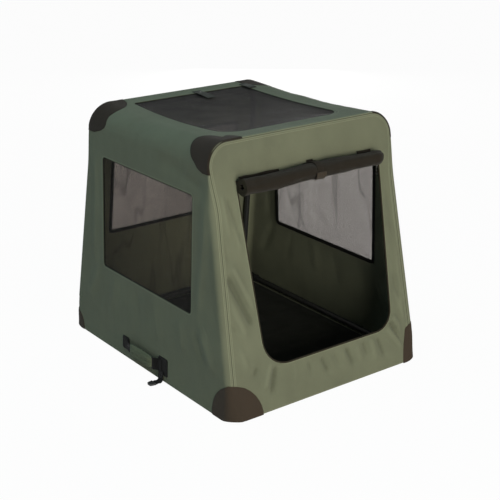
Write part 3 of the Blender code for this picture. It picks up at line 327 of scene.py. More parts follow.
def foot_distance(height):
    """Distance below the shoulder's start at which the wall reaches the sleeve's foot."""
    centre = height - SHOULDER_RADIUS
    return (SLEEVE_FOOT - centre - SHOULDER_RADIUS * sin(LEAN)) / cos(LEAN)


def sleeve_point(side, distance, along, depth=0.0):
    """As cover_point, with the wall stretched so that its foot is level."""
    if distance >= 0:
        return cover_point(side, distance, along, depth)
    start = front_y(FRONT_HEIGHT)
    guess = start + (rear_y(REAR_HEIGHT) - start) * along
    share = distance / foot_distance(FRONT_HEIGHT)
    return cover_point(side, share * foot_distance(eaves_height(guess)), along, depth)


def tray_point(side, distance, along, depth=0.0):
    """Point on the skirt and floor, by distance down from the top of the skirt."""
    if distance < TRAY_SIDE:
        z = SLEEVE_FOOT - distance / hypot(1, SIDE_SLOPE)
        x = side_x(z) - depth
    elif distance < TRAY_SIDE + TRAY_ARC:
        angle = (distance - TRAY_SIDE) / TRAY_CORNER
        x = side_x(TRAY_CORNER) - TRAY_CORNER + (TRAY_CORNER - depth) * cos(angle)
        z = TRAY_CORNER - (TRAY_CORNER - depth) * sin(angle)
    else:
        x = side_x(TRAY_CORNER) - TRAY_CORNER - (distance - TRAY_SIDE - TRAY_ARC)
        z = depth
    front = front_y(z)
    return Vector((side * max(x, 0.0), front + (rear_y(z) - front) * along, z))


def smoothstep(low, high, value):
    share = min(max((value - low) / (high - low), 0.0), 1.0)
    return share * share * (3 - 2 * share)


def along_table(table, value):
    """Read a table of pairs in straight steps."""
    if value <= table[0][0]:
        return table[0][1]
    for (before, low), (after, high) in zip(table, table[1:]):
        if value <= after:
            return low + (high - low) * (value - before) / (after - before)
    return table[-1][1]


def fillet(edge, inner, across, run, radius, lift=0.0):
    """Point on a rounded corner: run is positive along inner and negative along across."""
    turn = pi - inner.angle(across)
    half = radius * turn / 2
    middle = -(inner + across).normalized()
    beside = (inner - across).normalized()
    centre = edge - middle * (radius / cos(turn / 2))
    angle = max(-turn / 2, min(turn / 2, run / radius))
    radial = middle * cos(angle) + beside * sin(angle)
    point = centre + radial * (radius + lift)
    if run > half:
        return point + inner * (run - half)
    if run < -half:
        return point + across * (-run - half)
    return point


def end_corner(surface, side, distance, end):
    """Sharp corner of a surface at one end, with the two directions that leave it."""
    at = 0.0 if end < 0 else 1.0
    edge = surface(side, distance, at)
    inner = (surface(side, distance, at - end * 0.02) - edge).normalized()
    tangent = surface(side, distance + 0.0006, at) - surface(side, distance - 0.0006, at)
    slope = FRONT_SLOPE if end < 0 else REAR_SLOPE
    normal = Vector((0, end, slope)).normalized()
    across = normal.cross(tangent).normalized()
    if across.dot(INSIDE - edge) < 0:
        across.negate()
    return edge, inner, across


def seam_inset(distance):
    """Distance of the end seam from the corner: wide down the walls, narrow over the top."""
    wide = crate_sizes().seam_inset
    return wide + (0.0030 - wide) * smoothstep(*SEAM_NARROWS, distance)


def seam_radius(distance):
    wide = crate_sizes().corner_radius
    return wide + (0.0035 - wide) * smoothstep(*SEAM_NARROWS, distance)


def foot_radius(distance):
    wide = crate_sizes().corner_radius
    return wide + (0.0045 - wide) * smoothstep(TRAY_SIDE - FOOT_TURN, TRAY_SIDE, distance)


def foot_inset(distance):
    """Seam of the tray: as the wall's above, then drawn in under the floor."""
    wide = crate_sizes().seam_inset
    return wide + (0.0050 - wide) * smoothstep(TRAY_SIDE - FOOT_TURN, TRAY_SIDE, distance)


def seam_groove(gap):
    """Depth to which a sewn edge is drawn in, by the distance from it."""
    return GROOVE_DEPTH * (1 - smoothstep(0.0, GROOVE_WIDTH, gap))


def foot_rounding(z):
    """Radius of an upright corner in plan: blunt at the ground, tighter above the facings."""
    return crate_sizes().corner_radius + 0.014 * (1 - smoothstep(0.0, 0.085, z))


def crate_sizes():
    return bpy.context.scene.crate_sizes


def crate_colours():
    return bpy.context.scene.crate_colours


# Mesh helpers

def deselect_all():
    if bpy.context.object and bpy.context.object.mode != "OBJECT":
        bpy.ops.object.mode_set(mode="OBJECT")
    bpy.ops.object.select_all(action="DESELECT")


def take(obj):
    """Select one object alone and make it the active one."""
    deselect_all()
    obj.select_set(True)
    bpy.context.view_layer.objects.active = obj


def added(name):
    """The primitive just added, under its own name, with its place in its mesh."""
    obj = bpy.context.object
    obj.name = name
    obj.data.name = name
    take(obj)
    bpy.ops.object.transform_apply(location=True, rotation=True, scale=True)
    return obj


def edit_all(obj, operator, **settings):
    """Run one edit mode operator on the whole of an object."""
    take(obj)
    bpy.ops.object.mode_set(mode="EDIT")
    bpy.ops.mesh.select_all(action="SELECT")
    operator(**settings)
    bpy.ops.object.mode_set(mode="OBJECT")


def apply_modifier(obj, kind, **settings):
    take(obj)
    modifier = obj.modifiers.new(kind.lower(), kind)
    for key, value in settings.items():
        setattr(modifier, key, value)
    bpy.ops.object.modifier_apply(modifier=modifier.name)


def soft_edges(obj, degrees=40):
    take(obj)
    bpy.ops.object.shade_smooth_by_angle(angle=radians(degrees))


def grid_object(name, rows, closed=False):
    """A grid laid on rows of points, with its real distances as the UV map 'cloth'."""
    down, over = len(rows), len(rows[0])
    deselect_all()
    bpy.ops.mesh.primitive_grid_add(
        x_subdivisions=over - 1, y_subdivisions=down - 1, size=1.0, calc_uvs=True
    )
    obj = added(name)
    mesh = obj.data
    order = []
    for vert in mesh.vertices:
        column = round((vert.co.x + 0.5) * (over - 1))
        row = round((vert.co.y + 0.5) * (down - 1))
        order.append((row, column))
    middle = over // 2
    runs = [0.0]
    for before, after in zip(rows, rows[1:]):
        runs.append(runs[-1] + (after[middle] - before[middle]).length)
    spans = []
    for row in rows:
        line = [0.0]
        for before, after in zip(row, row[1:]):
            line.append(line[-1] + (after - before).length)
        spans.append([value - line[middle] for value in line])
    layer = mesh.uv_layers[0]
    layer.name = "cloth"
    for loop in mesh.loops:
        row, column = order[loop.vertex_index]
        layer.data[loop.index].uv = (spans[row][column], runs[row])
    places = []
    for row, column in order:
        places.extend(rows[row][column])
    mesh.vertices.foreach_set("co", places)
    mesh.update()
    if closed:
        apply_modifier(obj, "WELD", merge_threshold=0.00002)
    return obj, order


def settle(obj, least=0.0004):
    """Press cloth flat where it would reach below the ground."""
    for vert in obj.data.vertices:
        vert.co.z = max(vert.co.z, least)
    obj.data.update()


def tuck_corners(obj):
    """Draw cloth in behind the blunt bottom corners, so that the facings cover it."""
    for vert in obj.data.vertices:
        x, y, z = vert.co
        radius = foot_rounding(z)
        face = front_y(z) if y < 0 else rear_y(z)
        in_x = side_x(z) - abs(x)
        in_y = abs(face) - abs(y)
        if z > 0.090 or max(in_x, in_y) > 0.050:
            continue
        near = (1 - smoothstep(0.012, 0.045, in_x)) * (1 - smoothstep(0.012, 0.045, in_y))
        vert.co.z += 0.0050 * near * (1 - smoothstep(0.0, 0.030, z))
        reach = hypot(radius - in_x, radius - in_y)
        if in_x < radius and in_y < radius and reach > radius - 0.0008:
            share = (radius - 0.0008) / reach
            vert.co.x = copysign(side_x(z) - radius + (radius - in_x) * share, x)
            vert.co.y = copysign(abs(face) - radius + (radius - in_y) * share, y)
    obj.data.update()


def declare_cloth(obj, width, length):
    """Reckon a sewn sheet's length from its flat width and the mean area of its two faces; the
    result is not kept.
    """
    area = sum(face.area for face in obj.data.polygons) / 2
    length = max(length, area / width)


def mark(obj, name, values):
    """Carry one value for each vertex in a UV map, which Booleans keep."""
    layer = obj.data.uv_layers.new(name=name, do_init=False)
    for loop in obj.data.loops:
        layer.data[loop.index].uv = values[loop.vertex_index]


def face_outwards(obj):
    """Turn a sheet so that its faces look away from the inside of the crate."""
    total = 0.0
    for face in obj.data.polygons:
        total += face.normal.dot(face.center - INSIDE) * face.area
    if total < 0:
        edit_all(obj, bpy.ops.mesh.flip_normals)


def push(obj, height):
    """Move each vertex along its normal by height(place), and return the moves."""
    moves = []
    scale = crate_sizes().fold_depth
    for vert in obj.data.vertices:
        moves.append(height(vert.co) * scale)
    normals = [vert.normal.copy() for vert in obj.data.vertices]
    for vert, normal, move in zip(obj.data.vertices, normals, moves):
        vert.co += normal * move
    obj.data.update()
    return moves


def thicken(obj, thickness, offset=-1.0, even=True):
    apply_modifier(
        obj, "SOLIDIFY", thickness=thickness, offset=offset, use_even_offset=even,
        use_quality_normals=True,
    )


def cut_hole(obj, outline, frame_matrix):
    """Cut a rounded opening through a sheet with a prism on the opening's own outline."""
    depth = 0.08
    mesh = bpy.data.meshes.new("opening")
    bm = bmesh.new()
    low = [bm.verts.new(frame_matrix @ Vector((x, y, -depth))) for x, y in outline]
    high = [bm.verts.new(frame_matrix @ Vector((x, y, depth))) for x, y in outline]
    count = len(outline)
    for index in range(count):
        after = (index + 1) % count
        bm.faces.new((low[index], low[after], high[after], high[index]))
    bm.faces.new(low[::-1])
    bm.faces.new(high)
    bmesh.ops.recalc_face_normals(bm, faces=bm.faces)
    bm.to_mesh(mesh)
    bm.free()
    cutter = bpy.data.objects.new("opening", mesh)
    bpy.context.scene.collection.objects.link(cutter)
    apply_modifier(obj, "BOOLEAN", operation="DIFFERENCE", solver="EXACT", object=cutter)
    bpy.data.objects.remove(cutter, do_unlink=True)


def corner_arc(corner, before, after, radius, steps):
    to_before = (before - corner).normalized()
    to_after = (after - corner).normalized()
    half = to_before.angle(to_after) / 2
    centre = corner + (to_before + to_after).normalized() * (radius / sin(half))
    cut = radius / sin(half) * cos(half)
    start = corner + to_before * cut - centre
    end = corner + to_after * cut - centre
    sweep = pi - 2 * half
    points = []
    for step in range(steps + 1):
        share = step / steps
        mix = start * sin((1 - share) * sweep) + end * sin(share * sweep)
        points.append(centre + mix / sin(sweep))
    return points


def rounded_outline(corners, radii, steps=8):
    """Closed outline in a plane, with every corner rounded."""
    places = [Vector((x, y)) for x, y in corners]
    points = []
    for index, here in enumerate(places):
        after = places[(index + 1) % len(places)]
        points += corner_arc(here, places[index - 1], after, radii[index], steps)
    return points


def spread(outline, spacing):
    """The same closed outline with points no further apart than spacing."""
    points = []
    count = len(outline)
    for index, here in enumerate(outline):
        after = outline[(index + 1) % count]
        steps = max(1, ceil((after - here).length / spacing))
        for step in range(steps):
            points.append(here + (after - here) * (step / steps))
    return points


def grown(outline, centre, grow):
    """A closed outline moved outwards by one distance."""
    loop = []
    count = len(outline)
    for index, point in enumerate(outline):
        run = outline[(index + 1) % count] - outline[index - 1]
        out = Vector((run.y, -run.x)).normalized()
        if out.dot(point - centre) < 0:
            out.negate()
        loop.append(point + out * grow)
    return loop


def box_distance(x, y, box, radius):
    """Distance outside a rounded rectangle given as low and high x, low and high y."""
    centre_x, centre_y = (box[0] + box[1]) / 2, (box[2] + box[3]) / 2
    over_x = abs(x - centre_x) - (box[1] - box[0]) / 2 + radius
    over_y = abs(y - centre_y) - (box[3] - box[2]) / 2 + radius
    outside = hypot(max(over_x, 0.0), max(over_y, 0.0))
    return outside + min(max(over_x, over_y), 0.0) - radius


def door_edge(side, z):
    low, high = DOOR_BORDERS[side]
    share = (z - DOOR_LOW) / (DOOR_HIGH - DOOR_LOW)
    return side * (side_x(z) - low - (high - low) * share)


def door_distance(x, z):
    """Distance outside the door opening, near enough for folds and stitches."""
    side = 1 if x > 0 else -1
    height = min(max(z, DOOR_LOW), DOOR_HIGH)
    over_x = side * x - side * door_edge(side, height)
    over_z = max(DOOR_LOW - z, z - DOOR_HIGH)
    radius = DOOR_CORNERS[2]
    if z < (DOOR_LOW + DOOR_HIGH) / 2:
        radius = DOOR_CORNERS[0] if x < 0 else DOOR_CORNERS[1]
    over_x += radius
    over_z += radius
    outside = hypot(max(over_x, 0.0), max(over_z, 0.0))
    return outside + min(max(over_x, over_z), 0.0) - radius


def face_matrix(origin, across, up):
    out = across.cross(up)
    matrix = Matrix((across, up, out)).transposed().to_4x4()
    matrix.translation = origin
    return matrix


def front_frame():
    up = Vector((0, FRONT_SLOPE, 1)).normalized()
    return face_matrix(Vector((0, front_y(0), 0)), Vector((1, 0, 0)), up)


def rear_frame():
    up = Vector((0, -REAR_SLOPE, 1)).normalized()
    return face_matrix(Vector((0, rear_y(0), 0)), Vector((-1, 0, 0)), up)


def side_frame(side):
    up = Vector((-side * SIDE_SLOPE, 0, 1)).normalized()
    return face_matrix(Vector((side * side_x(0), 0, 0)), Vector((0, side, 0)), up)


def roof_frame():
    return Matrix.Translation((0, 0, FRONT_HEIGHT))


def box_corners(box, stretch=1.0):
    low_x, high_x, low_y, high_y = box
    low, high = low_y * stretch, high_y * stretch
    return [(low_x, low), (high_x, low), (high_x, high), (low_x, high)]


def window_outline(box, stretch):
    """Outline of a window in the plane of its leaning wall."""
    return rounded_outline(box_corners(box, stretch), [WINDOW_CORNER] * 4)


def roof_swell(point):
    """Let the roof window's left edge bow outwards, as its slack cloth does."""
    low_x, _, low_y, high_y = ROOF_WINDOW
    share = max(point.x / low_x, 0.0)
    across = (point.y - (low_y + high_y) / 2) / ((high_y - low_y) / 2)
    bow = ROOF_WINDOW_SWELL * share * max(1 - across * across, 0.0)
    return Vector((point.x - bow, point.y))


def roof_outline():
    """Outline of the roof window, its left edge bowed."""
    outline = rounded_outline(box_corners(ROOF_WINDOW), ROOF_CORNERS)
    return [roof_swell(point) for point in spread(outline, OUTLINE_STEP)]


def door_outline():
    """Outline of the door in the plane of the leaning front."""
    stretch = hypot(1, FRONT_SLOPE)
    corners = [
        (door_edge(-1, DOOR_LOW), DOOR_LOW * stretch),
        (door_edge(1, DOOR_LOW), DOOR_LOW * stretch),
        (door_edge(1, DOOR_HIGH), DOOR_HIGH * stretch),
        (door_edge(-1, DOOR_HIGH), DOOR_HIGH * stretch),
    ]
    return rounded_outline(corners, DOOR_CORNERS)


# Material helpers

class Recipe:
    """Nodes of one material or world, added and joined in short lines."""

    def __init__(self, owner, output="OutputMaterial"):
        self.owner = owner
        owner.use_nodes = True
        self.tree = owner.node_tree
        self.tree.nodes.clear()
        self.output = self.put(output)

    def put(self, kind, inputs=None, **settings):
        made = self.tree.nodes.new("ShaderNode" + kind)
        for key, value in settings.items():
            setattr(made, key, value)
        for key, value in (inputs or {}).items():
            socket = made.inputs[key]
            if isinstance(value, bpy.types.NodeSocket):
                self.tree.links.new(value, socket)
            else:
                socket.default_value = value
        return made

    def maths(self, operation, first, second=0.0, third=0.0, clamp=False):
        made = self.put("Math", {0: first, 1: second, 2: third}, operation=operation)
        made.use_clamp = clamp
        return made.outputs[0]

    def ramp(self, value, low, high, start=0.0, end=1.0):
        made = self.put(
            "MapRange", {0: value, 1: low, 2: high, 3: start, 4: end}, clamp=True,
            interpolation_type="SMOOTHSTEP",
        )
        return made.outputs[0]

    def mix(self, factor, first, second, blend="MIX"):
        made = self.put(
            "Mix", {0: factor, 6: first, 7: second}, data_type="RGBA", blend_type=blend
        )
        return made.outputs[2]

    def noise(self, place, scale, detail=2.0, rough=0.5, stretch=None):
        if stretch:
            place = self.put("Mapping", {"Vector": place, "Scale": stretch}).outputs[0]
        made = self.put(
            "TexNoise", {"Vector": place, "Scale": scale, "Detail": detail, "Roughness": rough}
        )
        return made.outputs[0]

    def uv(self, name):
        made = self.put("UVMap", uv_map=name)
        return made.outputs[0]

    def parts(self, vector):
        made = self.put("SeparateXYZ", {0: vector})
        return made.outputs[0], made.outputs[1], made.outputs[2]

    def object_place(self):
        return self.put("TexCoord").outputs["Object"]

    def bump(self, height, distance, strength=1.0, normal=None):
        inputs = {"Height": height, "Distance": distance, "Strength": strength}
        if normal is not None:
            inputs["Normal"] = normal
        return self.put("Bump", inputs).outputs[0]

    def wave(self, value, length):
        """Sine of a distance, with one full turn in each length."""
        return self.maths("SINE", self.maths("MULTIPLY", value, 2 * pi / length))

    def finish(self, shader):
        self.tree.links.new(shader, self.output.inputs[0])
        return self.owner


def new_recipe(name):
    return Recipe(bpy.data.materials.new("finish_" + name))


def shade(colour, factor):
    return (*(min(value * factor, 1.0) for value in colour), 1.0)


def weave(recipe, place, pitch):
    """Plain weave from two sets of threads, from 0 in the gaps to 1 on the threads."""
    across, along, _ = recipe.parts(place)
    warp = recipe.wave(across, pitch)
    weft = recipe.wave(along, pitch)
    return recipe.maths("MULTIPLY_ADD", recipe.maths("MULTIPLY", warp, weft), 0.5, 0.5)


def stitches(recipe, distance, along, offset, pitch=0.0032, width=0.00055):
    """Mask of a stitched line that runs at one distance from a seam."""
    gap = recipe.maths("ABSOLUTE", recipe.maths("SUBTRACT", distance, offset))
    line = recipe.ramp(gap, width * 0.6, width * 1.4, 1.0, 0.0)
    turn = recipe.maths("FRACT", recipe.maths("DIVIDE", along, pitch))
    from_middle = recipe.maths("ABSOLUTE", recipe.maths("SUBTRACT", turn, 0.5))
    dash = recipe.ramp(from_middle, 0.30, 0.40, 1.0, 0.0)
    return recipe.maths("MULTIPLY", line, dash)


# Rows of stitches: distances from an end seam, and from an opening
SEAM_ROWS = (0.0022, 0.0068)
HOLE_ROW = 0.0036


def sewn_marks(recipe, colour, place, tone, normal, height):
    """Painted highlight on raised folds and painted shade in sunk ones, stitches, piping with its
    painted highlight, painted shade in the seam grooves, and puckers, read from the sheet's own
    marks.
    """
    seam, hole, _ = recipe.parts(recipe.uv("edges"))
    run, _, _ = recipe.parts(recipe.uv("run"))
    fold, _, _ = recipe.parts(recipe.uv("folds"))
    # Painted highlight where folds rise and painted shade where they sink, by the fold height
    painted_fold_highlight = recipe.ramp(fold, 0.0014, 0.0050, 0.0, 0.50)
    painted_fold_shade = recipe.ramp(fold, -0.0074, -0.0016, 0.60, 0.0)
    tone = recipe.mix(painted_fold_highlight, tone, shade(colour, 1.24))
    tone = recipe.mix(painted_fold_shade, tone, shade(colour, 0.56))
    first, second = [stitches(recipe, seam, run, row) for row in SEAM_ROWS]
    rows = recipe.maths("MAXIMUM", first, second)
    rows = recipe.maths("MAXIMUM", rows, stitches(recipe, hole, run, HOLE_ROW))
    tone = recipe.mix(rows, tone, shade(colour, 1.75))
    from_seam, from_hole = [recipe.maths("ABSOLUTE", gap) for gap in (seam, hole)]
    edge = recipe.maths("MINIMUM", from_seam, from_hole)
    # Painted highlight on the piping, in a band beside each seam and opening edge
    piping_highlight = recipe.ramp(edge, 0.0030, 0.0062, 0.30, 0.0)
    tone = recipe.mix(piping_highlight, tone, shade(colour, 1.4))
    # Painted shade in the groove along each seam and opening edge
    groove_shade = recipe.ramp(edge, 0.0008, 0.0016, 0.70, 0.0)
    tone = recipe.mix(groove_shade, tone, shade(colour, 0.34))
    beside = recipe.ramp(edge, 0.004, 0.014, 1.0, 0.0)
    pucker = recipe.maths("MULTIPLY", beside, recipe.noise(place, 150.0, 1.0))
    normal = recipe.bump(pucker, 0.0011, 0.5, normal)
    height = recipe.maths("MULTIPLY_ADD", rows, 2.2, height)
    return tone, normal, height


def cloth_material(name, colour, has_marks=False, pitch=0.0006):
    """Woven cloth: threads, mottled dye, fibres, and the marks of a sewn sheet with their painted
    highlights and painted shade.
    """
    recipe = new_recipe(name)
    place = recipe.object_place()
    cloth = recipe.uv("cloth")
    threads = weave(recipe, cloth, pitch)
    patches = recipe.noise(place, 7.0, 4.0, 0.6)
    streaks = recipe.noise(place, 26.0, 3.0, 0.55, (1.0, 1.0, 0.35))
    fibres = recipe.noise(place, 620.0, 2.0, 0.6)
    tone = recipe.mix(recipe.ramp(patches, 0.30, 0.72), shade(colour, 0.90), shade(colour, 1.09))
    tone = recipe.mix(recipe.ramp(streaks, 0.35, 0.70, 0.0, 0.30), tone, shade(colour, 1.16))
    tone = recipe.mix(recipe.ramp(threads, 0.0, 0.9, 0.16, 0.0), tone, shade(colour, 0.55))
    tone = recipe.mix(recipe.ramp(fibres, 0.55, 0.80, 0.0, 0.18), tone, shade(colour, 1.5))
    creases = recipe.noise(place, 34.0, 4.0, 0.62)
    height = recipe.maths("MULTIPLY_ADD", fibres, 0.30, threads)
    normal = recipe.bump(creases, 0.0016, 0.42)
    if has_marks:
        tone, normal, height = sewn_marks(recipe, colour, place, tone, normal, height)
    normal = recipe.bump(height, 0.00022, 0.55, normal)
    rough = recipe.ramp(patches, 0.3, 0.7, 0.80, 0.93)
    shader = recipe.put("BsdfPrincipled", {
        "Base Color": tone, "Roughness": rough, "Normal": normal, "Sheen Weight": 0.05,
        "Sheen Roughness": 0.55, "Specular IOR Level": 0.12,
    })
    return recipe.finish(shader.outputs[0])


def webbing_material(name, colour, pitch=0.0017):
    """Woven tape: slanted ribs, pale fluff and a dull sheen."""
    recipe = new_recipe(name)
    place = recipe.object_place()
    across, along, _ = recipe.parts(recipe.uv("cloth"))
    slant = recipe.maths("MULTIPLY_ADD", across, 0.7, along)
    ribs = recipe.wave(slant, pitch)
    cross = recipe.wave(across, pitch * 0.62)
    low = recipe.maths("MULTIPLY_ADD", cross, 0.22, 0.6)
    height = recipe.maths("MULTIPLY_ADD", ribs, 0.5, low)
    fluff = recipe.noise(place, 480.0, 3.0, 0.7)
    dust = recipe.noise(place, 40.0, 3.0, 0.6)
    tone = recipe.mix(recipe.ramp(height, 0.1, 1.0), shade(colour, 0.65), shade(colour, 1.25))
    tone = recipe.mix(recipe.ramp(fluff, 0.55, 0.85, 0.0, 0.35), tone, shade(colour, 2.4))
    tone = recipe.mix(recipe.ramp(dust, 0.45, 0.75, 0.0, 0.25), tone, shade(colour, 1.8))
    normal = recipe.bump(height, 0.00035, 0.8)
    shader = recipe.put("BsdfPrincipled", {
        "Base Color": tone, "Roughness": recipe.ramp(dust, 0.3, 0.8, 0.62, 0.82),
        "Normal": normal, "Sheen Weight": 0.02, "Sheen Roughness": 0.5, "Specular IOR Level": 0.10,
    })
    return recipe.finish(shader.outputs[0])


def net_material(name, colour, thread_cover, pitch=0.0013):
    """Open net: threads in two directions with holes between, and faint creases."""
    recipe = new_recipe(name)
    place = recipe.object_place()
    across, along, _ = recipe.parts(recipe.uv("cloth"))
    warp = recipe.maths("ABSOLUTE", recipe.wave(across, 2 * pitch))
    weft = recipe.maths("ABSOLUTE", recipe.wave(along, 2 * pitch))
    open_part = recipe.maths("MULTIPLY", warp, weft)
    # The ramp's middle sets the share that threads cover
    middle = 0.12 + 0.62 * thread_cover
    holes = recipe.ramp(open_part, middle - 0.30, middle + 0.30)
    creases = recipe.noise(place, 7.0, 2.0, 0.45, (1.0, 1.0, 0.24))
    vein = recipe.maths("ABSOLUTE", recipe.maths("SUBTRACT", creases, 0.5))
    vein = recipe.ramp(vein, 0.0, 0.016, 1.0, 0.0)
    passing = recipe.maths("MULTIPLY", holes, recipe.maths("MULTIPLY_ADD", vein, -0.14, 1.0))
    passing = recipe.maths("MULTIPLY", passing, recipe.ramp(creases, 0.30, 0.70, 0.96, 1.03))
    tone = recipe.mix(recipe.ramp(creases, 0.35, 0.65), shade(colour, 0.90), shade(colour, 1.10))
    threads = recipe.put("BsdfPrincipled", {
        "Base Color": tone, "Roughness": 0.70, "Specular IOR Level": 0.10,
        "Normal": recipe.bump(recipe.maths("SUBTRACT", 1.0, open_part), 0.0003, 0.7),
    })
    clear = recipe.put("BsdfTransparent", {"Color": (1.0, 0.968, 0.945, 1.0)})
    both = recipe.put("MixShader", {0: passing, 1: threads.outputs[0], 2: clear.outputs[0]})
    return recipe.finish(both.outputs[0])


def coat_material(name, colour, roughness, grain=900.0, depth=0.00012, metallic=0.0, worn=1.6):
    """Powder coat, moulded plastic or plated steel, with fine grain and rubbed marks."""
    recipe = new_recipe(name)
    place = recipe.object_place()
    fine = recipe.noise(place, grain, 2.0, 0.5)
    broad = recipe.noise(place, 22.0, 4.0, 0.6)
    marks = recipe.noise(place, 130.0, 3.0, 0.7, (1.0, 0.25, 1.0))
    tone = recipe.mix(recipe.ramp(broad, 0.3, 0.7), shade(colour, 0.88), shade(colour, 1.12))
    tone = recipe.mix(recipe.ramp(marks, 0.62, 0.74, 0.0, 0.40), tone, shade(colour, worn))
    rough = recipe.ramp(broad, 0.25, 0.75, roughness * 0.85, min(roughness * 1.2, 1.0))
    shader = recipe.put("BsdfPrincipled", {
        "Base Color": tone, "Roughness": rough, "Metallic": metallic,
        "Normal": recipe.bump(fine, depth, 0.6),
    })
    return recipe.finish(shader.outputs[0])


def felt_material(name, colour):
    """Felt: matted hairs over soft lumps."""
    recipe = new_recipe(name)
    place = recipe.object_place()
    hairs = recipe.noise(place, 300.0, 5.0, 0.75)
    lumps = recipe.noise(place, 18.0, 4.0, 0.6)
    tone = recipe.mix(recipe.ramp(lumps, 0.3, 0.7), shade(colour, 0.8), shade(colour, 1.25))
    tone = recipe.mix(recipe.ramp(hairs, 0.55, 0.8, 0.0, 0.4), tone, shade(colour, 2.2))
    normal = recipe.bump(hairs, 0.0005, 0.6, recipe.bump(lumps, 0.003, 0.4))
    shader = recipe.put("BsdfPrincipled", {
        "Base Color": tone, "Roughness": recipe.ramp(hairs, 0.3, 0.7, 0.85, 0.97),
        "Normal": normal, "Sheen Weight": 0.03, "Sheen Roughness": 0.6, "Specular IOR Level": 0.06,
    })
    return recipe.finish(shader.outputs[0])


# Finishes: how each is made, the colour it starts from, that colour's strength, settings
FINISHES = {
    "cover_cloth": (cloth_material, "cover", 1.0, {"has_marks": True, "pitch": 0.00075}),
    "facing_cloth": (cloth_material, "facing", 1.0, {}),
    "foot_facing_cloth": (cloth_material, "facing", 1.9, {}),
    "leaf_cloth": (cloth_material, "leaf", 1.0, {}),
    "tab_brown": (cloth_material, "tab", 1.0, {}),
    "grip_cloth": (cloth_material, "grip", 1.0, {"pitch": 0.0007}),
    "webbing_black": (webbing_material, "webbing", 1.0, {}),
    "webbing_olive": (webbing_material, "tie", 1.0, {}),
    "webbing_brown": (webbing_material, "leaf", 1.0, {}),
    "binding_brown": (webbing_material, "binding", 1.0, {}),
    "window_net": (net_material, "mesh", 1.0, {"thread_cover": 0.21}),
    # Painted light: the close net's threads are brightened copies of the window mesh colour;
    # painted shade: the roof net's are darkened copies
    "window_net_close": (net_material, "mesh", (2.30, 2.40, 2.00), {"thread_cover": 0.48}),
    "roof_net": (net_material, "mesh", 0.62, {"thread_cover": 0.84}),
    "mat_felt": (felt_material, "mat", 1.0, {}),
    "coated_steel": (coat_material, "steel", 1.0, {"roughness": 0.42, "grain": 1400.0}),
    "moulded_plastic": (coat_material, "plastic", 1.0, {"roughness": 0.48, "grain": 1100.0}),
    "bright_steel": (coat_material, "bright", 1.0, {
        "roughness": 0.28, "grain": 700.0, "depth": 0.00005, "metallic": 1.0, "worn": 1.2,
    }),
}


def finish_of(key):
    """The crate's materials, each made once."""
    ready = bpy.data.materials.get("finish_" + key)
    if ready:
        return ready
    make, source, strength, settings = FINISHES[key]
    base = getattr(crate_colours(), source)
    shares = strength if isinstance(strength, tuple) else (strength,) * 3
    colour = [value * share for value, share in zip(base, shares)]
    return make(key, colour, **settings)


def dress(obj, key, degrees=40):
    obj.data.materials.clear()
    obj.data.materials.append(finish_of(key))
    soft_edges(obj, degrees)


# Folds: start, end, half width and height; positions are across the wall and up from
# the ground, and a height below 0 is a valley

FRONT_FOLD_SCALE = 1.75
FRONT_FOLDS = (
    (0.234, 0.133, 0.275, 0.055, 0.0085, 0.0052), (0.206, 0.113, 0.270, 0.032, 0.0090, 0.0046),
    (0.222, 0.124, 0.270, 0.046, 0.0060, -0.0036), (0.176, 0.092, 0.198, 0.034, 0.0080, -0.0040),
    (0.150, 0.095, 0.163, 0.036, 0.0090, 0.0030), (0.127, 0.097, 0.137, 0.050, 0.0080, -0.0034),
    (0.100, 0.095, 0.112, 0.040, 0.0090, 0.0022), (0.070, 0.094, 0.090, 0.040, 0.0080, -0.0042),
    (0.047, 0.094, 0.062, 0.052, 0.0090, 0.0020), (0.027, 0.090, 0.044, 0.050, 0.0070, -0.0022),
    (0.004, 0.094, 0.018, 0.050, 0.0080, 0.0018), (-0.014, 0.091, 0.006, 0.045, 0.0070, -0.0036),
    (-0.057, 0.093, -0.051, 0.060, 0.0070, -0.0030), (-0.100, 0.092, -0.108, 0.050, 0.0080, 0.0018),
    (-0.158, 0.106, -0.178, 0.045, 0.0080, -0.0046), (-0.176, 0.120, -0.200, 0.060, 0.0090, 0.0032),
    (0.270, 0.330, 0.269, 0.150, 0.0110, 0.0030), (0.252, 0.240, 0.264, 0.160, 0.0090, -0.0028),
    (0.256, 0.470, 0.268, 0.300, 0.0120, -0.0020), (0.247, 0.205, 0.276, 0.110, 0.0090, 0.0030),
    (-0.268, 0.352, -0.212, 0.222, 0.0085, -0.0052), (-0.254, 0.372, -0.208, 0.262, 0.0090, 0.0034),
    (-0.284, 0.320, -0.236, 0.200, 0.0100, 0.0034), (-0.281, 0.246, -0.260, 0.215, 0.0080, -0.0030),
    (-0.213, 0.120, -0.234, 0.080, 0.0080, -0.0040), (-0.262, 0.180, -0.244, 0.120, 0.0110, 0.0026),
    (-0.244, 0.535, -0.215, 0.430, 0.0080, -0.0030), (-0.262, 0.550, -0.252, 0.440, 0.0090, 0.0028),
    (-0.234, 0.470, -0.224, 0.400, 0.0080, 0.0024), (-0.276, 0.470, -0.262, 0.380, 0.0090, -0.0026),
    (-0.200, 0.640, -0.010, 0.612, 0.0140, 0.0018), (0.020, 0.632, 0.190, 0.640, 0.0140, -0.0016),
)
SIDE_FOLDS = (
    (-0.240, 0.560, -0.060, 0.590, 0.0200, -0.0030), (-0.262, 0.540, -0.236, 0.250, 0.0160, 0.0030),
    (-0.246, 0.200, -0.300, 0.110, 0.0160, 0.0030), (-0.225, 0.180, -0.262, 0.110, 0.0130, -0.0030),
    (0.250, 0.520, 0.262, 0.220, 0.0150, 0.0026), (0.236, 0.215, 0.300, 0.110, 0.0170, 0.0030),
    (-0.150, 0.205, -0.170, 0.110, 0.0180, 0.0022), (0.050, 0.210, 0.030, 0.115, 0.0200, -0.0024),
    (0.150, 0.205, 0.180, 0.115, 0.0180, 0.0022), (-0.040, 0.205, -0.050, 0.120, 0.0200, 0.0020),
)
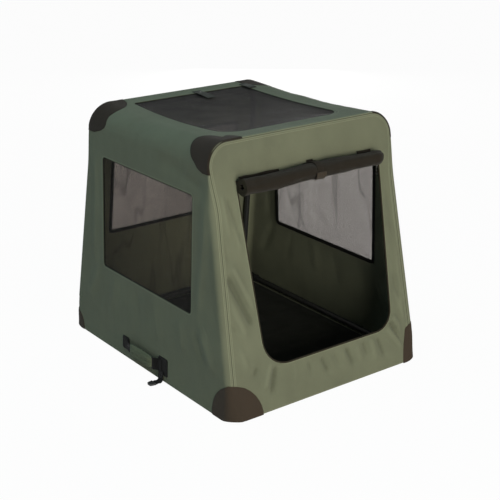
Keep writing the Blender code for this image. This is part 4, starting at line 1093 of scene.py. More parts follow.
REAR_FOLDS = (
    (-0.150, 0.255, -0.170, 0.060, 0.0140, 0.0034), (0.120, 0.255, 0.150, 0.060, 0.0150, 0.0034),
    (-0.030, 0.250, -0.040, 0.080, 0.0180, -0.0028), (0.040, 0.250, 0.060, 0.080, 0.0160, 0.0024),
    (-0.225, 0.260, -0.275, 0.070, 0.0120, -0.0034), (0.225, 0.260, 0.272, 0.070, 0.0120, -0.0034),
    (-0.245, 0.500, -0.252, 0.300, 0.0120, 0.0026), (0.245, 0.500, 0.250, 0.300, 0.0120, 0.0026),
)


def fold_height(folds, across, up):
    """Sum of the folds at one place: each is a ridge or a valley that fades at its ends."""
    total = 0.0
    for x0, z0, x1, z1, width, height in folds:
        run_x, run_z = x1 - x0, z1 - z0
        length = hypot(run_x, run_z)
        along = ((across - x0) * run_x + (up - z0) * run_z) / length
        beside = ((across - x0) * run_z - (up - z0) * run_x) / length
        if abs(beside) > 3 * width or along < -width * 2 or along > length + width * 2:
            continue
        ends = smoothstep(-width * 1.6, width * 1.5, along)
        ends *= 1 - smoothstep(length - width * 2.2, length + width * 1.6, along)
        total += height * ends * exp(-(beside / width) ** 2)
    return total


def ripple(place, scale, seed=0.0):
    """Smooth unevenness from -1 to 1."""
    return noise.noise(Vector((place.x * scale + seed, place.y * scale, place.z * scale)))


# Cover

def spaced(low, high, step):
    count = max(1, round((high - low) / step))
    return [low + (high - low) * index / count for index in range(count + 1)]


def wrapped_row(surface, side, distance, inset, radius, columns):
    """One row of a sheet that is wrapped round the front and rear corners to its seams."""
    ends = {}
    for end in (-1, 1):
        edge, inner, across = end_corner(surface, side, distance, end)
        half = radius * (pi - inner.angle(across)) / 2
        places = [-inset, -inset + 0.0012, -inset + 0.0026]
        places = [min(place, -half - 0.0003 * (3 - index)) for index, place in enumerate(places)]
        places += [-half + 2 * half * step / 6 for step in range(7)]
        places.append(half + 0.006)
        points = []
        for place in places:
            depth = seam_groove(place + inset)
            points.append(fillet(edge, inner, across, place, radius, -depth))
        ends[end] = (points, [max(place + inset, 0.0) for place in places])
    row, seam = list(ends[-1][0]), list(ends[-1][1])
    low = (row[-1] - surface(side, distance, 0.0)).length
    span = (surface(side, distance, 1.0) - surface(side, distance, 0.0)).length
    margin = (low + 0.006) / span
    for step in range(columns + 1):
        along = margin + (1 - 2 * margin) * step / columns
        row.append(surface(side, distance, along))
        seam.append(min(along, 1 - along) * span + inset)
    row += ends[1][0][::-1]
    seam += ends[1][1][::-1]
    return row, seam


def wall_fade(place, window, radius):
    """How freely cloth may fold: not at all along a window's sewn edge."""
    along = place.y if window is not ROOF_WINDOW else place.x
    up = place.z if window is not ROOF_WINDOW else place.y
    return smoothstep(0.002, 0.030, box_distance(along, up, window, radius))


def under_facing(place, reach, height):
    """0 where a bottom facing lies on the cloth, and 1 well clear of it."""
    end = -1 if place.y < 0 else 1
    face = front_y(place.z) if end < 0 else rear_y(place.z)
    run = max(side_x(place.z) - abs(place.x), abs(face - place.y))
    return smoothstep(-0.004, 0.018, max(run - reach, place.z - height))


def under_top_facing(place):
    """0 where a top facing lies over the shoulder, and 1 well clear of it."""
    gap = min(place.y - front_y(place.z), rear_y(place.z) - place.y)
    start = FRONT_HEIGHT - SHOULDER_RADIUS - 0.022
    return smoothstep(-0.006, 0.024, max(gap - 0.088, start - place.z, 0.150 - abs(place.x)))


def sleeve_relief(place):
    """Folds and slackness of the walls and roof."""
    if place.z < SLEEVE_FOOT + 0.0005:
        return 0.0
    foot = smoothstep(SLEEVE_FOOT, SLEEVE_FOOT + 0.030, place.z)
    front_gap = place.y - front_y(place.z)
    rear_gap = rear_y(place.z) - place.y
    seams = smoothstep(0.004, 0.040, min(front_gap, rear_gap)) * under_top_facing(place)
    if abs(place.x) > side_x(FRONT_HEIGHT - SHOULDER_RADIUS) - 0.004:
        free = wall_fade(place, SIDE_WINDOW, WINDOW_CORNER)
        height = fold_height(SIDE_FOLDS, place.y, place.z)
        height += 0.0020 * ripple(place, 9.0, 3.0) + 0.0008 * ripple(place, 24.0, 8.0)
        return height * free * seams * foot
    free = wall_fade(place, ROOF_WINDOW, ROOF_WINDOW_CORNER)
    height = 0.0024 * ripple(place, 8.0, 21.0) + 0.0009 * ripple(place, 26.0, 5.0)
    return height * free * seams


def skirt_relief(place):
    """Slackness of the skirts, and none in the floor."""
    if place.z <= 0.006:
        return 0.0
    fade = smoothstep(0.006, 0.030, place.z) * (1 - smoothstep(0.070, SLEEVE_FOOT, place.z))
    return 0.0016 * ripple(place, 12.0, 33.0) * fade * under_facing(place, 0.070, 0.100)


def front_relief(place):
    gap = door_distance(place.x, place.z)
    free = smoothstep(0.0, 0.016, gap)
    height = FRONT_FOLD_SCALE * fold_height(FRONT_FOLDS, place.x, place.z)
    height += 0.0016 * ripple(place, 10.0, 40.0) + 0.0007 * ripple(place, 27.0, 11.0)
    quiet = 1 - 0.75 * smoothstep(0.520, 0.560, place.z)
    foot = smoothstep(0.002, 0.022, place.z)
    reach = 0.088 if place.x < 0 else 0.047
    return height * free * quiet * foot * under_facing(place, reach, 0.092)


def rear_relief(place):
    free = smoothstep(0.002, 0.030, box_distance(-place.x, place.z, REAR_WINDOW, WINDOW_CORNER))
    height = fold_height(REAR_FOLDS, place.x, place.z)
    height += 0.0020 * ripple(place, 9.0, 60.0) + 0.0008 * ripple(place, 25.0, 71.0)
    return height * free * smoothstep(0.002, 0.022, place.z) * under_facing(place, 0.045, 0.052)


def wrapped_sheet(name, surface, distances, inset_of, radius_of, relief):
    """Sheet from the left seam line round to the right one, as rows by distance."""
    columns = round(0.640 / crate_sizes().cell)
    stations = [(-1, value) for value in distances]
    stations += [(1, value) for value in distances[-2::-1]]
    rows, seams, runs = [], [], []
    for side, distance in stations:
        row, seam = wrapped_row(
            surface, side, distance, inset_of(distance), radius_of(distance), columns
        )
        rows.append(row)
        seams.append(seam)
        runs.append(side * distance)
    obj, order = grid_object(name, rows)
    face_outwards(obj)
    moves = push(obj, relief)
    return obj, order, seams, runs, moves


def add_marks(obj, seam, hole, run, moves):
    mark(obj, "edges", list(zip(seam, hole)))
    mark(obj, "run", [(value, 0.0) for value in run])
    mark(obj, "folds", [(value, 0.0) for value in moves])


def sink_with_walls(obj):
    """Ride on the base, with a mesh of its own."""
    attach(obj, "base")
    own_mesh(obj)


def follow_front_hoop(obj):
    """Bake the object's place into its mesh."""
    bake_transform(obj)


def make_sleeve():
    """Left wall, roof and right wall as one cloth, with the window openings cut."""
    cell = crate_sizes().cell
    foot = foot_distance(FRONT_HEIGHT)
    distances = spaced(foot, -0.010, cell) + spaced(-0.005, SHOULDER_ARC, 0.0048)
    distances += spaced(SHOULDER_ARC + cell, HALF_SECTION, cell)
    obj, order, seams, runs, moves = wrapped_sheet(
        "cover_walls_and_roof", sleeve_point, distances, seam_inset, seam_radius, sleeve_relief
    )
    seam, hole, run = [], [], []
    for vert, (row, column) in zip(obj.data.vertices, order):
        place = vert.co
        seam.append(seams[row][column])
        run.append(runs[row] + place.y)
        if abs(place.x) > 0.24:
            hole.append(box_distance(place.y, place.z, SIDE_WINDOW, WINDOW_CORNER))
        else:
            hole.append(box_distance(place.x, place.y, ROOF_WINDOW, ROOF_WINDOW_CORNER))
    add_marks(obj, seam, hole, run, moves)
    thicken(obj, crate_sizes().cloth)
    stretch = hypot(1, SIDE_SLOPE)
    low_y, high_y, low_z, high_z = SIDE_WINDOW
    cut_hole(obj, window_outline((-high_y, -low_y, low_z, high_z), stretch), side_frame(-1))
    cut_hole(obj, window_outline(SIDE_WINDOW, stretch), side_frame(1))
    cut_hole(obj, roof_outline(), roof_frame())
    dress(obj, "cover_cloth")
    sink_with_walls(obj)
    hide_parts("side_wall_left", "side_wall_right", "roof_panel")
    width = 2 * (HALF_SECTION - foot)
    declare_cloth(obj, width, BASE_LENGTH)


def make_tray():
    """Skirts and floor as one cloth, under the walls."""
    cell = crate_sizes().cell
    distances = spaced(0.0, TRAY_SIDE - 0.002, cell)
    distances += spaced(TRAY_SIDE, TRAY_SIDE + TRAY_ARC, 0.0010)
    distances += spaced(TRAY_SIDE + TRAY_ARC + cell, TRAY_HALF, cell * 1.6)
    obj, order, seams, runs, moves = wrapped_sheet(
        "cover_floor_and_skirts", tray_point, distances, foot_inset, foot_radius, skirt_relief
    )
    seam = [seams[row][column] for row, column in order]
    run = [runs[row] + vert.co.y for vert, (row, _) in zip(obj.data.vertices, order)]
    hole = []
    for vert in obj.data.vertices:
        hole.append(max(vert.co.z - 0.0005, 0.006) if abs(vert.co.x) > 0.300 else 0.05)
    add_marks(obj, seam, hole, run, moves)
    thicken(obj, crate_sizes().cloth, even=False)
    settle(obj)
    tuck_corners(obj)
    dress(obj, "cover_cloth")
    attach(obj, "base")
    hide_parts("base_tray")
    declare_cloth(obj, 2 * TRAY_HALF, BASE_LENGTH)


def seam_line(end):
    """Left seam of an end panel from the ground to the middle of the top, as points."""
    points = []
    for distance in spaced(0.0, TRAY_SIDE + TRAY_ARC * 0.55, 0.0060)[::-1]:
        edge, inner, across = end_corner(tray_point, -1, distance, end)
        inset = foot_inset(distance)
        points.append(fillet(edge, inner, across, -inset, foot_radius(distance)))
    foot = foot_distance(FRONT_HEIGHT)
    for distance in spaced(foot, -0.008, 0.0060)[1:] + spaced(-0.004, SHOULDER_ARC, 0.0042):
        edge, inner, across = end_corner(sleeve_point, -1, distance, end)
        points.append(fillet(edge, inner, across, -seam_inset(distance), seam_radius(distance)))
    return points


def make_end_panel(name, end, relief, hole_distance):
    """Front or rear of the cover: rows between the two seams, from the ground to the roof."""
    line = [Vector((point.x, point.y, max(point.z, 0.0012))) for point in seam_line(end)]
    kept = [line[0]]
    for point in line[1:]:
        if point.z > kept[-1].z + 0.00012:
            kept.append(point)
    from_edge = (0.0, 0.0012, 0.0026, 0.0045, 0.0075)
    rows = []
    columns = round(0.575 / crate_sizes().cell)
    for point in kept:
        half = -point.x
        inner = half - from_edge[-1]
        xs = [-half + value for value in from_edge]
        xs += [-inner + 2 * inner * step / columns for step in range(1, columns)]
        xs += [half - value for value in from_edge[::-1]]
        rows.append([Vector((x, point.y, point.z)) for x in xs])
    obj, _ = grid_object(name, rows)
    face_outwards(obj)
    boundary = []
    for before, after in zip(kept, kept[1:]):
        steps = max(1, ceil((after - before).length / 0.001))
        boundary += [before.lerp(after, step / steps) for step in range(steps)]
    top = kept[-1]
    boundary += [Vector((x, top.y, top.z)) for x in spaced(top.x, 0.0, 0.001)]
    tree = KDTree(len(boundary))
    for index, point in enumerate(boundary):
        tree.insert(point, index)
    tree.balance()
    seam, hole, run = [], [], []
    for vert in obj.data.vertices:
        near = Vector((-abs(vert.co.x), vert.co.y, vert.co.z))
        seam.append(tree.find(near)[2])
        hole.append(hole_distance(vert.co.x, vert.co.z))
        run.append(vert.co.x + vert.co.z * END_STRETCH)
    table = {}
    for vert, value in zip(obj.data.vertices, seam):
        table[vert.co.to_tuple(6)] = value

    def full_relief(place):
        gap = table[place.to_tuple(6)]
        return relief(place) * smoothstep(0.002, 0.018, gap) - seam_groove(gap)

    moves = push(obj, full_relief)
    add_marks(obj, seam, hole, run, moves)
    thicken(obj, crate_sizes().cloth)
    settle(obj)
    tuck_corners(obj)
    return obj


def make_front_panel():
    def edge_distance(x, z):
        return min(door_distance(x, z), max(z - 0.0012, 0.0))

    obj = make_end_panel("cover_front", -1, front_relief, edge_distance)
    cut_hole(obj, door_outline(), front_frame())
    dress(obj, "cover_cloth")
    follow_front_hoop(obj)
    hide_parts("front_panel")
    declare_cloth(obj, BASE_WIDTH, FRONT_HEIGHT * hypot(1, FRONT_SLOPE))


def make_rear_panel():
    def edge_distance(x, z):
        return box_distance(-x, z, REAR_WINDOW, WINDOW_CORNER)

    obj = make_end_panel("cover_rear", 1, rear_relief, edge_distance)
    cut_hole(obj, window_outline(REAR_WINDOW, hypot(1, REAR_SLOPE)), rear_frame())
    dress(obj, "cover_cloth")
    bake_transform(obj)
    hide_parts("rear_panel")
    declare_cloth(obj, BASE_WIDTH, REAR_HEIGHT * hypot(1, REAR_SLOPE))


# Windows and their bindings

def roof_place(x, y, depth):
    start = front_y(FRONT_HEIGHT)
    along = (y - start) / (rear_y(REAR_HEIGHT) - start)
    return Vector((x, y, eaves_height(y) - ROOF_SAG * 4 * along * (1 - along) - depth))


def wall_place(kind, across, up, depth):
    """Point behind a wall's outer face, by its place across and its height."""
    if kind == "roof":
        return roof_place(across, up, depth)
    if kind == "rear":
        return Vector((-across, rear_y(up, depth), up))
    if kind == "front":
        return Vector((across, front_y(up, depth), up))
    side = -1 if kind == "left" else 1
    return Vector((side * side_x(up, depth), across, up))


def make_net(name, kind, box, finish, seed):
    """Window net, sewn to the inside of its wall and a little slack."""
    low_x, high_x, low_z, high_z = box
    left = low_x - NET_LAP - (ROOF_WINDOW_SWELL if kind == "roof" else 0.0)
    rows = []
    for up in spaced(low_z - NET_LAP, high_z + NET_LAP, NET_CELL):
        row = []
        for across in spaced(left, high_x + NET_LAP, NET_CELL):
            slack = smoothstep(0.0, 0.035, -box_distance(across, up, box, WINDOW_CORNER))
            flat = wall_place(kind, across, up, 0.0)
            wave = ripple(Vector((flat.x * 1.8, flat.y * 1.8, flat.z * 0.45)), 9.0, seed)
            wave += 0.4 * ripple(flat, 21.0, seed + 9)
            depth = NET_DEPTH + NET_SLACK * slack * (wave + 0.5)
            row.append(wall_place(kind, across, up, depth))
        rows.append(row)
    obj, _ = grid_object(name, rows)
    face_outwards(obj)
    thicken(obj, 0.0004)
    dress(obj, finish)
    return obj


def closed_band(name, kind, loops, thickness):
    """Tape that follows an opening: loops of points across the tape, each with its depth."""
    rows = []
    for outline, depth in loops:
        row = [wall_place(kind, point.x, point.y, depth) for point in outline]
        row.append(row[0].copy())
        rows.append(row)
    obj, _ = grid_object(name, rows, closed=True)
    face_outwards(obj)
    thicken(obj, thickness)
    return obj


def opening_loops(box, radius, grows):
    """Outlines of a window grown by each amount, all with the same number of points."""
    if box is ROOF_WINDOW:
        base = roof_outline()
    else:
        base = spread(rounded_outline(box_corners(box), [radius] * 4), OUTLINE_STEP)
    centre = Vector(((box[0] + box[1]) / 2, (box[2] + box[3]) / 2))
    return [grown(base, centre, grow) for grow in grows]


def make_window_binding(name, kind, box, radius):
    wide = crate_sizes().binding
    grows = (-0.0016, -0.0010, 0.0020, wide * 0.55, wide - 0.001, wide)
    depths = (0.0012, 0.0034, 0.0042, 0.0046, 0.0042, 0.0030)
    loops = list(zip(opening_loops(box, radius, grows), depths))
    obj = closed_band(name, kind, loops, 0.0009)
    dress(obj, "webbing_black")
    return obj


# Windows: name, box, corner, node, finish of the net, place in the noise that folds it
WINDOWS = (
    ("left", SIDE_WINDOW, WINDOW_CORNER, "side_window_left", "window_net", 11.0),
    ("right", SIDE_WINDOW, WINDOW_CORNER, "side_window_right", "window_net_close", 25.0),
    ("rear", REAR_WINDOW, WINDOW_CORNER, "rear_window", "window_net_close", 39.0),
    ("roof", ROOF_WINDOW, ROOF_WINDOW_CORNER, "roof_window", "roof_net", 52.0),
)


def carry_with_cover(obj, kind):
    """Rear pieces ride on the rear hoop, and the others on the base."""
    if kind == "rear":
        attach(obj, "rear_hoop")
    else:
        sink_with_walls(obj)


def make_windows():
    for kind, box, radius, node, finish, seed in WINDOWS:
        net = make_net("net_" + kind, kind, box, finish, seed)
        tape = make_window_binding("window_binding_" + kind, kind, box, radius)
        carry_with_cover(net, kind)
        carry_with_cover(tape, kind)
        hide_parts(node)


# Door: binding, zips, rolled leaf and its tie

def strip_object(name, path, across, width, thickness, crown=0.0, columns=6, offset=-1.0):
    """Flat tape along a path of points, a little thicker in its middle."""
    rows = []
    count = len(path)
    for index, point in enumerate(path):
        run = path[min(index + 1, count - 1)] - path[max(index - 1, 0)]
        out = run.cross(across).normalized()
        row = []
        for step in range(columns + 1):
            share = step / columns * 2 - 1
            lift = crown * (1 - share * share)
            row.append(point + across * (share * width / 2) + out * lift)
        rows.append(row)
    obj, _ = grid_object(name, rows)
    thicken(obj, thickness, offset)
    return obj


def make_door_binding():
    """Narrow tape folded over the edge of the door opening."""
    stretch = hypot(1, FRONT_SLOPE)
    base = spread(door_outline(), 0.010)
    centre = Vector((0.0, 0.35))
    # Outward growth and depth, from behind the panel round its edge to the front
    places = (
        (0.0022, -0.0001), (0.0014, -0.0008), (0.0002, -0.0009), (-0.0009, -0.0003),
        (-0.0012, 0.0010), (-0.0008, 0.0026), (0.0020, 0.0030), (0.0070, 0.0028),
    )
    rows = []
    for grow, depth in places:
        row = []
        for place in grown(base, centre, grow):
            row.append(wall_place("front", place.x, place.y / stretch, depth))
        row.append(row[0].copy())
        rows.append(row)
    obj, _ = grid_object("door_binding", rows, closed=True)
    thicken(obj, 0.0005, 0.0)
    dress(obj, "binding_brown", 60)
    follow_front_hoop(obj)


def zip_point(side, z, depth):
    """Middle of a zip tape at one height, beside the opening and behind the panel."""
    x = door_edge(side, z) + side * (ZIP_WIDTH / 2 + GAP)
    return Vector((x, front_y(z, depth), z))


def join_into(name, pieces):
    take(pieces[0])
    for piece in pieces[1:]:
        piece.select_set(True)
    bpy.ops.object.join()
    pieces[0].name = name
    return pieces[0]


def make_zip(side, label):
    """Coil zip: a woven tape with a ridge of teeth down its middle."""
    depth = CLOTH_SPACE + GAP + 0.0008
    low, high = [zip_point(side, z, depth) for z in ZIP_SPAN]
    up = (high - low).normalized()
    out = Vector((0, -1, FRONT_SLOPE)).normalized()
    across = up.cross(out).normalized()
    path = [low.lerp(high, step / 40) for step in range(41)]
    tape = strip_object("zip_tape", path, across, ZIP_WIDTH, 0.0007, offset=0.0)
    tape.data.materials.append(finish_of("webbing_black"))
    deselect_all()
    bpy.ops.mesh.primitive_cylinder_add(
        vertices=6, radius=COIL_RADIUS, depth=COIL_WIDTH, rotation=(0, pi / 2, 0)
    )
    tooth = added("zip_coil")
    edit_all(tooth, bpy.ops.mesh.bevel, offset=0.00018, segments=1)
    count = int(((high - low).length - 0.006) / COIL_PITCH)
    apply_modifier(
        tooth, "ARRAY", count=count, use_relative_offset=False, use_constant_offset=True,
        constant_offset_displace=(0, COIL_PITCH, 0),
    )
    tooth.data.transform(face_matrix(low + up * 0.003, across, up))
    tooth.data.materials.append(finish_of("moulded_plastic"))
    obj = join_into("zip_" + label, [tape, tooth])
    soft_edges(obj, 50)
    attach(obj, "front_hoop")
    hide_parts("door_zip_" + label)


def roll_centre():
    """Middle of the roll in the side view that roll_frame gives: out of the panel, up it."""
    return CLOTH_SPACE / 2 + GAP + ROLL_RADIUS, ROLL_HEIGHT * hypot(1, FRONT_SLOPE)


def roll_frame(x):
    """Side view of the front panel at one place: X out of it, Y up it."""
    up = Vector((0, FRONT_SLOPE, 1)).normalized()
    out = Vector((0, -1, FRONT_SLOPE)).normalized()
    return Vector((x, front_y(0, CLOTH_SPACE / 2), 0)), out, up


def roll_shape(x):
    """Radius scale and droop of the roll at one place along it."""
    left, right = ROLL_SPAN
    share = (x - left) / (right - left)
    pinch = 0.045 * exp(-((x - TIE_PLACE) / 0.016) ** 2)
    slack = 0.030 * noise.noise(Vector((x * 14, 3.1, 0)))
    slack += 0.018 * noise.noise(Vector((x * 41, 7.7, 0)))
    drawn_in = 0.14 * smoothstep(0.955, 1.0, share) ** 2
    scale = 1.015 - 0.085 * share + slack - pinch - drawn_in
    droop = 0.0012 * sin(share * 9) - 0.0010 * share
    return min(scale, 1.03), droop


def loose_winding(x, angle):
    """Soft dents and swellings of the roll's turns, the same through all of them."""
    place = Vector((x * 11, 1.5 * cos(angle), 1.5 * sin(angle)))
    return 0.0030 * noise.noise(place) + 0.0013 * noise.noise(place * 2.7)


def make_door_leaf():
    """Door leaf rolled up from its foot, hanging from its seam on the header."""
    centre_out, centre_up = roll_centre()
    outer = ROLL_RADIUS - ROLL_SHEET / 2
    count = ceil(ROLL_TURNS * ROLL_STEPS_PER_TURN)
    top = (LEAF_SEAM_HEIGHT - 0.004) * hypot(1, FRONT_SLOPE)
    seam_out = 0.0022
    left, right = ROLL_SPAN
    rows = []
    for x in spaced(left + 0.0006, right - 0.0006, 0.0058):
        scale, droop = roll_shape(x)
        origin, out, up = roll_frame(x)
        flare = 0.0008 * exp(-min(x - left, right - x) / 0.010)
        row = []
        for step in range(count + 1):
            turn = ROLL_TURNS * (1 - step / count)
            angle = pi + 2 * pi * turn
            reach = (outer - ROLL_PITCH * turn) * scale + loose_winding(x, angle) + flare
            far = centre_out + reach * cos(angle) - (outer - outer * scale)
            high = centre_up - droop + reach * sin(angle)
            row.append(origin + out * max(far, 0.0024) + up * high)
        last = row[-1] - origin
        level = last.dot(up)
        for step in range(1, 9):
            share = step / 8
            ease = smoothstep(0.0, 1.0, share)
            lift = level + (top - level) * share
            away = last.dot(out) * (1 - ease) + seam_out * ease
            row.append(origin + out * away + up * lift)
        rows.append(row)
    obj, _ = grid_object("door_leaf_roll", rows)
    thicken(obj, 0.0021, 0.0)
    dress(obj, "leaf_cloth", 55)
    paint_roll_ends(obj)
    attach(obj, "front_hoop")
    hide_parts("door_roll")


def paint_roll_ends(obj):
    """Give the bound edges of the leaf, seen as rings at the roll's ends, their own cloth."""
    obj.data.materials.append(finish_of("binding_brown"))
    for face in obj.data.polygons:
        if abs(face.normal.x) > 0.7:
            face.material_index = 1


def make_leaf_hem():
    """Dark hem of the leaf along its seam on the header, in the lengths that show."""
    pieces = []
    seam = (LEAF_SEAM_HEIGHT - 0.0005) * hypot(1, FRONT_SLOPE)
    for low, high in HEM_SPANS:
        path = []
        for x in spaced(low, high, 0.006):
            origin, out, up = roll_frame(x)
            path.append(origin + out * 0.0044 + up * (seam + 0.0006 * sin(x * 90)))
        pieces.append(strip_object("hem", path, up, 0.0085, 0.0011, crown=0.0005, columns=4))
    obj = join_into("door_leaf_hem", pieces)
    dress(obj, "leaf_cloth", 50)
    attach(obj, "front_hoop")


def tie_circle():
    """The roll's outline under its tie: origin, directions, middle out and up, radius."""
    centre_out, centre_up = roll_centre()
    scale, droop = roll_shape(TIE_PLACE)
    origin, out, up = roll_frame(TIE_PLACE)
    middle_out = centre_out - ROLL_RADIUS * (1 - scale)
    return origin, out, up, middle_out, centre_up - droop, ROLL_RADIUS * scale + 0.0013


def make_door_tie():
    """Webbing loop that holds the roll, from the header's outer face to its inner one."""
    origin, out, up, middle_out, middle_up, radius = tie_circle()
    stretch = hypot(1, FRONT_SLOPE)
    sewn = (LEAF_SEAM_HEIGHT + 0.003) * stretch
    face = 0.0029
    path = [origin + out * face + up * (sewn + 0.006), origin + out * (face + 0.0004) + up * sewn]
    start = radians(86)
    sweep = start + pi
    for step in range(31):
        angle = start - sweep * step / 30
        away = middle_out + radius * cos(angle)
        path.append(origin + out * away + up * (middle_up + radius * sin(angle)))
    path.append(origin - out * face + up * (DOOR_HIGH * stretch - 0.005))
    path.append(origin - out * face + up * (DOOR_HIGH * stretch + 0.004))
    path.append(origin - out * face + up * sewn)
    across = Vector((1, 0, 0))
    band = strip_object(
        "door_roll_tie", path, across, TIE_WIDTH, 0.0012, crown=0.0003, offset=1.0
    )
    dress(band, "webbing_brown", 50)
    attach(band, "front_hoop")
    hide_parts("door_tie")


def make_tie_tab():
    """Thick tab on the front of the tie, bent round the roll."""
    origin, out, up, middle_out, middle_up, radius = tie_circle()
    path = []
    for step in range(13):
        share = step / 12 - 0.5
        angle = radians(TAB_ANGLE) + share * TAB_HEIGHT / radius
        reach = radius + 0.0019 + 0.0009 * cos(share * pi)
        away = middle_out + reach * cos(angle)
        path.append(origin + out * away + up * (middle_up + reach * sin(angle)))
    across = Vector((1, 0, 0))
    tab = strip_object(
        "door_roll_tab", path, across, TAB_WIDTH, 0.0018, crown=0.0006, columns=8, offset=1.0
    )
    apply_modifier(
        tab, "BEVEL", width=0.0006, segments=2, limit_method="ANGLE", angle_limit=radians(50)
    )
    dress(tab, "tab_brown", 50)
    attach(tab, "front_hoop")
    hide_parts("door_tie_tab")


# Roof ties and corner facings

def make_roof_tie(name, node, x, length):
    """Olive webbing tie sewn behind the roof window, lying forward on the net."""
    path = []
    for y in spaced(ROOF_TIE_SEAM - length, ROOF_TIE_SEAM, 0.006)[::-1]:
        wave = smoothstep(0.235, 0.205, y) * abs(sin((y - 0.02) * 24))
        path.append(roof_place(x + 0.0025 * sin(y * 22 + x * 40), y, -(0.0012 + 0.0022 * wave)))
    tie = strip_object(
        name, path, Vector((1, 0, 0)), ROOF_TIE_WIDTH, 0.0013, crown=0.0003, columns=8,
        offset=1.0,
    )
    dress(tie, "webbing_olive", 50)
    sink_with_walls(tie)
    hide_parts(node)


def facing_place(side, distance, run, end, lift):
    """Point lifted off the cover: run goes from the corner back along the roof's edge."""
    edge, inner, across = end_corner(sleeve_point, side, distance, end)
    radius = seam_radius(distance)
    half = radius * (pi - inner.angle(across)) / 2
    if run <= half + 0.010:
        return fillet(edge, inner, across, run, radius, lift)
    span = (sleeve_point(side, distance, 1.0) - sleeve_point(side, distance, 0.0)).length
    along = (run + half) / span * 0.985
    if end > 0:
        along = 1 - along
    return sleeve_point(side, distance, along, -lift)


def make_top_facing(end, side, name):
    """Facing over a shoulder of the roof, from the end seam back to its scalloped edge."""
    table = FRONT_TOP_FACING if end < 0 else REAR_TOP_FACING
    if end < 0 and side > 0:
        table = FRONT_RIGHT_TOP_FACING
    rows = []
    for distance in spaced(table[0][0], table[-1][0], 0.0028):
        reach = along_table(table, distance)
        start = -seam_inset(distance) * 0.96
        row = []
        for step in range(FACING_STEPS + 1):
            share = step / FACING_STEPS
            share = share * (1.25 - 0.25 * share)
            run = start + (reach - start) * share
            lift = 0.0003 + 0.0004 * sin(min(share * 1.6, 1.0) * pi / 2) * (1 - share ** 10)
            row.append(facing_place(side, distance, run, end, lift))
        rows.append(row)
    obj, _ = grid_object(name, rows)
    face_outwards(obj)
    thicken(obj, FACING_THICKNESS, 0.2)
    dress(obj, "facing_cloth", 50)
    sink_with_walls(obj)
    return obj


def foot_place(side, end, run, z, lift):
    """Point on the skirt round a bottom corner; a negative run goes along the front or rear."""
    face = front_y(z) if end < 0 else rear_y(z)
    edge = Vector((side * side_x(z), face, z))
    inner = Vector((0, -end, 0))
    across = Vector((-side, 0, 0))
    return fillet(edge, inner, across, run, foot_rounding(z), lift)


def make_bottom_facing(end, side, name):
    """Facing round a bottom corner, from the ground up to its curved edge."""
    front_table = FRONT_LEFT_FOOT if side < 0 else FRONT_RIGHT_FOOT
    side_table = SIDE_FOOT
    if end > 0:
        front_table = side_table = REAR_FOOT
    taller = front_table[0][1] / side_table[0][1]
    runs = [(-value, front_table) for value in spaced(0.0, front_table[-1][0], 0.0032)[::-1]]
    runs += [(value, side_table) for value in spaced(0.0, side_table[-1][0], 0.0032)[1:]]
    rows = []
    for step in range(FACING_STEPS + 1):
        share = step / FACING_STEPS
        row = []
        for run, table in runs:
            top = along_table(table, abs(run)) * (taller if run > 0 else 1.0)
            low = 0.0008 + 0.0042 * (1 - smoothstep(0.004, 0.036, abs(run)))
            z = low + (top - low) * share
            edge_gap = min(top - z, table[-1][0] - abs(run))
            middle = smoothstep(0.0, 0.020, edge_gap)
            lift = 0.0003 + 0.0005 * smoothstep(0.0, 0.006, edge_gap)
            dent = noise.noise(Vector((run * 30, z * 26, side * 5 + end)))
            lift += 0.0006 * dent * middle
            crease = (run + 0.034 - z * 0.42) / 0.0030
            lift -= 0.0011 * exp(-crease * crease) * middle * (1 if end * side > 0 else 0.5)
            row.append(foot_place(side, end, run, z, lift))
        rows.append(row)
    obj, _ = grid_object(name, rows)
    face_outwards(obj)
    thicken(obj, FACING_THICKNESS, 0.2)
    settle(obj, 0.0002)
    dress(obj, "foot_facing_cloth", 50)
    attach(obj, "base")
    return obj


def make_facings():
    for end, end_name in ((-1, "front"), (1, "rear")):
        for side, side_name in ((-1, "left"), (1, "right")):
            corner = end_name + "_" + side_name
            top = make_top_facing(end, side, "top_facing_" + corner)
            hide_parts("top_patch_" + corner)
            foot = make_bottom_facing(end, side, "bottom_facing_" + corner)
            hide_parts("bottom_patch_" + corner)


# Handle, closing strap and mat

def handle_place(y, up, lift):
    """Point in front of the left skirt: up is measured along it from the handle's middle."""
    origin = Vector((-side_x(HANDLE_HEIGHT), y, HANDLE_HEIGHT))
    return origin + SKIRT_RISE * up + SKIRT_OUT * lift


def make_anchor(name, start, end, tall, node):
    """Sewn patch of webbing, thick at its turned-in edges."""
    box = (start, end, -tall / 2, tall / 2)
    rows = []
    for up in spaced(-tall / 2, tall / 2, 0.0018):
        row = []
        for y in spaced(start, end, 0.0018):
            gap = -box_distance(y, up, box, 0.006)
            ridge = exp(-((gap - 0.0030) / 0.0016) ** 2)
            quilt = exp(-((gap - 0.0062) / 0.0008) ** 2)
            across = min(max(y, start + 0.0004), end - 0.0004)
            lift = 0.0007 + 0.0019 * smoothstep(-0.0005, 0.0022, gap)
            lift += 0.0004 * ridge - 0.0006 * quilt
            row.append(handle_place(across, up, lift))
        rows.append(row)
    obj, _ = grid_object(name, rows)
    trim_corners(obj, box)
    face_outwards(obj)
    thicken(obj, 0.0008)
    dress(obj, "webbing_black", 50)
    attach(obj, "base")
    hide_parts(node)


